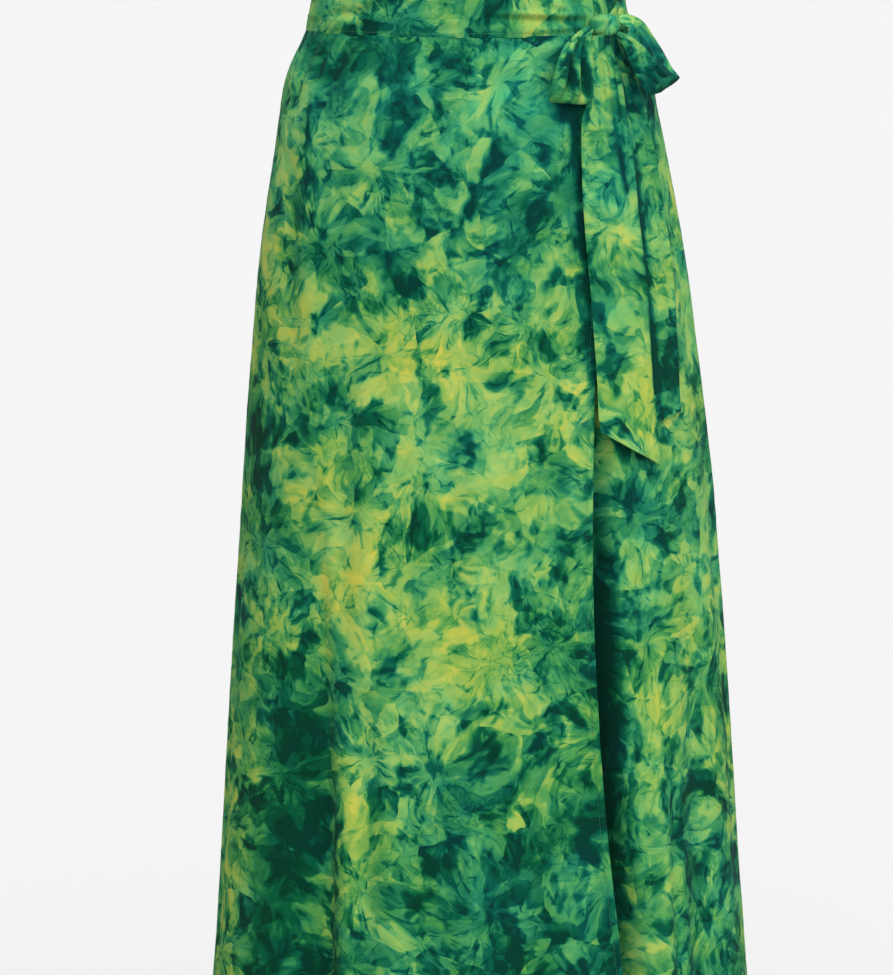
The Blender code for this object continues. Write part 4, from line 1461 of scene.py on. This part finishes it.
class SKIRT_OT_waistband(bpy.types.Operator):
    """Winds the waistband from its end under the knot round the back and beneath itself."""

    bl_idname = "skirt.waistband"
    bl_label = "Waistband"

    def execute(self, context):
        cloth = context.scene.skirt_cloth
        materials = skirt_materials(context.scene.skirt_dye)
        last = BAND_UNDER_END - 360.0
        unrolled = np.arange(BAND_OVER_END, last - BAND_STEP / 2, -BAND_STEP)[::-1]
        start, end = BAND_TUCK
        tucked = eased((start - 360.0 - unrolled) / (start - end))
        height = np.linspace(BAND_TOP, BAND_BOTTOM, BAND_ROWS + 1)[:, np.newaxis]
        middle = (BAND_TOP + BAND_BOTTOM) / 2
        half = (BAND_TOP - BAND_BOTTOM) / 2
        rounding = BAND_ROUNDING * np.abs((height - middle) / half) ** EDGE_POWER
        out = BAND_PROUD - tucked * BAND_LAP_DEPTH
        out = out + cloth.crease * crease_out(unrolled, height, BAND_CREASES)
        around = round_length(unrolled, 0.0) / BAND_SWELL_ACROSS
        swell = soft_noise(around, height / BAND_SWELL_DOWN, BAND_SWELL_SEED)
        out = out + BAND_SWELL * swell - rounding
        stitch_line = half * (1 - 2 * BAND_STITCH_ROW / BAND_ROWS)
        away = np.abs(np.abs(height - middle) - stitch_line)
        out = out - BAND_STITCH_DIP * hump(away, BAND_STITCH_DIP_REACH)
        outer = draped_point(unrolled, height, out)
        inner = draped_point(unrolled, height, out - cloth.band_wall + rounding)
        run = lengths(draped_point(unrolled, middle, 0.0), 0)
        places = np.stack(np.broadcast_arrays(run, height), axis=-1)
        piece = wall_piece("band_cloth_strip", outer, inner, places, 0.0, BAND_COOL)
        finish_piece(piece, "waistband", materials["dyed_band"])
        faces = np.stack([outer, inner])
        for name, row in (("upper", BAND_STITCH_ROW), ("lower", -1 - BAND_STITCH_ROW)):
            line = faces[:, row]
            stitch_row(name + "_band_stitches", line, cloth, materials["sewing_thread"])
        return {"FINISHED"}


def fine_rows(rows):
    """Every column of a stretch at evenly spaced places along it, each as a column of a grid."""
    count = len(rows["turn"])
    numbered = {**rows, "row": np.arange(count, dtype=float)}
    at = np.linspace(0, count - 1, (count - 1) * STRIP_ROWS_EACH + 1)[:, np.newaxis]
    return {column: along(numbered, column, at, by="row") for column in rows}


def furrow_out(across, share, furrows):
    """The sum of the furrows: each a bell across, eased in and out along the stretch."""
    out = np.zeros(np.broadcast(across, share).shape)
    for row in rows_of(furrows):
        run = np.clip((share - row["start"]) / (row["end"] - row["start"]), 0, 1)
        reach = eased(run / FURROW_FADE_IN) * eased((1 - run) / FURROW_FADE_OUT)
        centre = row["across_a"] + (row["across_b"] - row["across_a"]) * run
        out -= row["depth"] * reach * hump(across - centre, row["width"])
    return out


def sheet_normals(sheet):
    """Unit normals of a grid of points, from its own steps along and across."""
    return unit(np.cross(*np.gradient(sheet, axis=(0, 1))))


def build_strip(name, rows, furrows, cloth, seed):
    """A flat sewn tube along its stretch: thick in the middle, thin at both edges, furrowed."""
    fine = fine_rows(rows)
    lean = np.radians(fine["lean"])
    tilt = np.radians(fine["tilt"])
    across = np.linspace(-0.5, 0.5, STRIP_COLUMNS + 1)
    aside = across * fine["width"]
    middle = form_point(fine["turn"], fine["height"])
    radius = np.linalg.norm(middle[..., :2], axis=-1)
    turn = fine["turn"] + np.degrees(aside * np.cos(lean) * np.cos(tilt) / radius)
    height = fine["height"] + aside * np.sin(lean) * np.cos(tilt)
    share = np.linspace(0, 1, len(fine["turn"]))[:, np.newaxis]
    cupped = fine["cup"] * (1 - (2 * across) ** 2)
    out = fine["out"] + aside * np.sin(tilt) + cupped
    sheet = draped_point(turn, height, out)
    run = lengths(sheet, 0)[:, STRIP_COLUMNS // 2][:, np.newaxis]
    scale = np.clip(fine["width"] / cloth.tie_width, GATHERED_WIDTH, 1.0)
    relief = furrow_out(across, share, furrows) * scale**0.5
    swell = soft_noise(across * STRIP_SWELLS, run / STRIP_SWELL_LENGTH, seed)
    relief = relief + STRIP_SWELL * swell
    sheet = sheet + sheet_normals(sheet) * relief[..., np.newaxis]
    full = STRIP_EDGE + (1 - STRIP_EDGE) * (1 - (2 * np.abs(across)) ** EDGE_POWER)
    thick = (cloth.tie_wall / 2 * full)[..., np.newaxis] * sheet_normals(sheet)
    start = STRIP_CUT_STEP * seed
    spread = (cloth.tie_width + fine["width"]) / 2
    places = np.stack(np.broadcast_arrays(across * spread + start, run + start), axis=-1)
    # the pools lighten or darken the print, with painted shade, shadow and highlights in places
    tone = pool_tone(turn, height, TIE_PRINT_SHADE_AND_LIGHT_POOLS)
    cool = TIE_COOL * eased(1 - height / TIE_WARM_AT)
    return wall_piece(name, sheet + thick, sheet - thick, places, tone, cool), sheet


def knot_frame():
    """The knot's directions (along the band, out, up) and its centre."""
    out = unit(normals_of(form_point, KNOT_TURN, 0.0) * [1, 1, 0])
    up = np.array([0.0, 0.0, 1.0])
    seat = draped_point(KNOT_TURN, KNOT_HEIGHT, BAND_PROUD + KNOT_GAP)
    return np.array([np.cross(out, up), out, up]), seat + out * KNOT_HALF[1]


def build_knot():
    """A flat-fronted lump that is wrapped aslant: its radius swells for each turn of the tie
    and drops to a sharp line between two turns."""
    along_way = np.linspace(0, np.pi, KNOT_STATIONS + 2)[1:-1, np.newaxis]
    around = np.linspace(0, 2 * np.pi, KNOT_MERIDIANS + 1)[:-1]
    x = -np.cos(along_way)
    cos, sin = np.cos(around), np.sin(around)
    wound = KNOT_TURNS * (x + KNOT_SLANT[0] * cos + KNOT_SLANT[1] * sin)
    swell = np.abs(np.cos(np.pi / 2 * wound)) ** KNOT_FULLNESS
    boxy = (np.abs(cos) ** KNOT_BOXINESS + np.abs(sin) ** KNOT_BOXINESS) ** (-1 / KNOT_BOXINESS)
    radius = np.sin(along_way) ** KNOT_BLUNTNESS * boxy * (1 - KNOT_LINE + KNOT_LINE * swell)
    rings = np.stack(np.broadcast_arrays(x, radius * cos, radius * sin), axis=-1)
    poles = np.array([[-1.0, 0.0, 0.0], [1.0, 0.0, 0.0]])
    ball = np.concatenate([poles, rings.reshape(-1, 3)])
    directions, centre = knot_frame()
    points = centre + (ball * KNOT_HALF) @ directions
    mesh = fill_mesh("knot_cloth", points, *tube_faces(KNOT_STATIONS, KNOT_MERIDIANS))
    places = np.stack([ball[:, 0] * KNOT_HALF[0], ball[:, 2] * KNOT_HALF[2]], axis=-1)
    add_cloth(mesh, places, KNOT_TONE, TIE_COOL)
    return link_piece("knot_cloth", mesh)


class SKIRT_OT_bow(bpy.types.Operator):
    """Ties the bow: the knot, two loops, two hanging ends and the under-lap's own tie."""

    bl_idname = "skirt.bow"
    bl_label = "Bow"

    def execute(self, context):
        cloth = context.scene.skirt_cloth
        materials = skirt_materials(context.scene.skirt_dye)
        finish_piece(build_knot(), "tie_knot", materials["dyed_ties"])
        stretches = {
            "tie_loop_left": (LOOP_LEFT, LOOP_LEFT_FURROWS),
            "tie_loop_right": (LOOP_RIGHT, LOOP_RIGHT_FURROWS),
            "tie_tail_front": (TAIL_FRONT, TAIL_FRONT_FURROWS),
            "tie_tail_back": (TAIL_BACK, TAIL_BACK_FURROWS),
            "tie_lead": (LEAD, LEAD_FURROWS),
        }
        for seed, (node, (rows, furrows)) in enumerate(stretches.items(), STRIP_SEED):
            piece, sheet = build_strip(node + "_cloth", rows, furrows, cloth, seed)
            finish_piece(piece, node, materials["dyed_ties"])
        return {"FINISHED"}


def floor_material(colour):
    """A matt pale floor, lit for the camera alone as a studio's backdrop is by its own lamps."""
    tree, shader = new_material("pale_floor")
    place = add_node(tree, "ShaderNodeTexCoord").outputs["Object"]
    patch = noise(tree, place, FLOOR_PATCHES, 3.0)
    shade = [FLOOR_PATCH_SHADE * value for value in colour]
    seen = add_node(tree, "ShaderNodeLightPath").outputs["Is Camera Ray"]
    inputs = {
        "Base Color": mixed(tree, patch, colour, shade),
        "Roughness": FLOOR_ROUGHNESS,
        "Specular IOR Level": 0.0,
        "Emission Color": (1.0, 1.0, 1.0, 1.0),
        "Emission Strength": maths(tree, "MULTIPLY", seen, FLOOR_GLOW),
    }
    set_inputs(tree, shader, inputs)


def add_sun(name, strength, turn, rise, spread):
    """Soft parallel light, turned from the camera's side towards +X and raised, in degrees."""
    sun = bpy.data.lights.new(name, "SUN")
    sun.energy = strength
    sun.angle = np.radians(spread)
    lamp = link_piece(name, sun)
    lamp.rotation_euler = (np.radians(90.0 - rise), 0.0, np.radians(turn))


class SKIRT_OT_stage(bpy.types.Operator):
    """Sets the pale floor, the soft light and the camera."""

    bl_idname = "skirt.stage"
    bl_label = "Stage"

    def execute(self, context):
        stage = context.scene.skirt_stage
        corners = np.array([(-1, -1, 0), (1, -1, 0), (1, 1, 0), (-1, 1, 0)]) * FLOOR_REACH
        level = [0, 0, HEM - stage.floor_drop]
        mesh = fill_mesh("floor", corners + level, np.array([[0, 1, 2, 3]]))
        floor_material(stage.floor_colour)
        mesh.materials.append(bpy.data.materials["pale_floor"])
        floor = link_piece("floor", mesh)

        world = bpy.data.worlds.new("studio")
        context.scene.world = world
        world.use_nodes = True
        tree = world.node_tree
        seen = add_node(tree, "ShaderNodeLightPath").outputs["Is Camera Ray"]
        more = maths(tree, "MULTIPLY", seen, BACKDROP - stage.sky)
        strength = maths(tree, "ADD", more, stage.sky)
        inputs = {"Color": (1.0, 1.0, 1.0, 1.0), "Strength": strength}
        set_inputs(tree, tree.nodes["Background"], inputs)

        add_sun("key", stage.key, KEY_TURN, KEY_RISE, KEY_SPREAD)
        add_sun("back", stage.back, BACK_TURN, BACK_RISE, BACK_SPREAD)
        for name, turn in (("left", -SIDE_LIGHT_TURN), ("right", SIDE_LIGHT_TURN)):
            add_sun(name, stage.side, turn, SIDE_LIGHT_RISE, SIDE_LIGHT_SPREAD)

        camera = bpy.data.cameras.new("front")
        camera.lens = CAMERA_LENS
        camera.sensor_width = CAMERA_SENSOR
        view = link_piece("front", camera)
        view.location = CAMERA_PLACE
        aim = np.subtract(CAMERA_AIM, CAMERA_PLACE)
        view.rotation_euler = (np.arctan2(np.hypot(aim[0], aim[1]), -aim[2]), 0.0, 0.0)
        context.scene.camera = view
        context.scene.view_settings.view_transform = "Standard"
        context.scene.view_settings.look = "None"
        return {"FINISHED"}


class SKIRT_PT_panel(bpy.types.Panel):
    """Lists the skirt's pieces and their settings."""

    bl_label = "Wrap skirt"
    bl_idname = "SKIRT_PT_panel"
    bl_space_type = "VIEW_3D"
    bl_region_type = "UI"
    bl_category = "Wrap skirt"

    def draw(self, context):
        for group in SETTINGS:
            settings = getattr(context.scene, group)
            column = self.layout.column(align=True)
            for name in settings.bl_rna.properties.keys():
                if name not in ("name", "rna_type"):
                    column.prop(settings, name)
        for operator in OPERATORS:
            self.layout.operator(operator.bl_idname)


SETTINGS = {"skirt_cloth": SkirtCloth, "skirt_dye": SkirtDye, "skirt_stage": SkirtStage}
OPERATORS = (SKIRT_OT_waistband, SKIRT_OT_panels, SKIRT_OT_bow, SKIRT_OT_stage)
CLASSES = (*SETTINGS.values(), *OPERATORS, SKIRT_PT_panel)


def register():
    for cls in CLASSES:
        bpy.utils.register_class(cls)
    for name, group in SETTINGS.items():
        setattr(bpy.types.Scene, name, bpy.props.PointerProperty(type=group))


def unregister():
    for name in SETTINGS:
        delattr(bpy.types.Scene, name)
    for cls in reversed(CLASSES):
        bpy.utils.unregister_class(cls)


def main():
    register()
    bpy.ops.skirt.waistband()
    bpy.ops.skirt.panels()
    bpy.ops.skirt.bow()
    bpy.ops.skirt.stage()


if __name__ == "__main__":
    main()
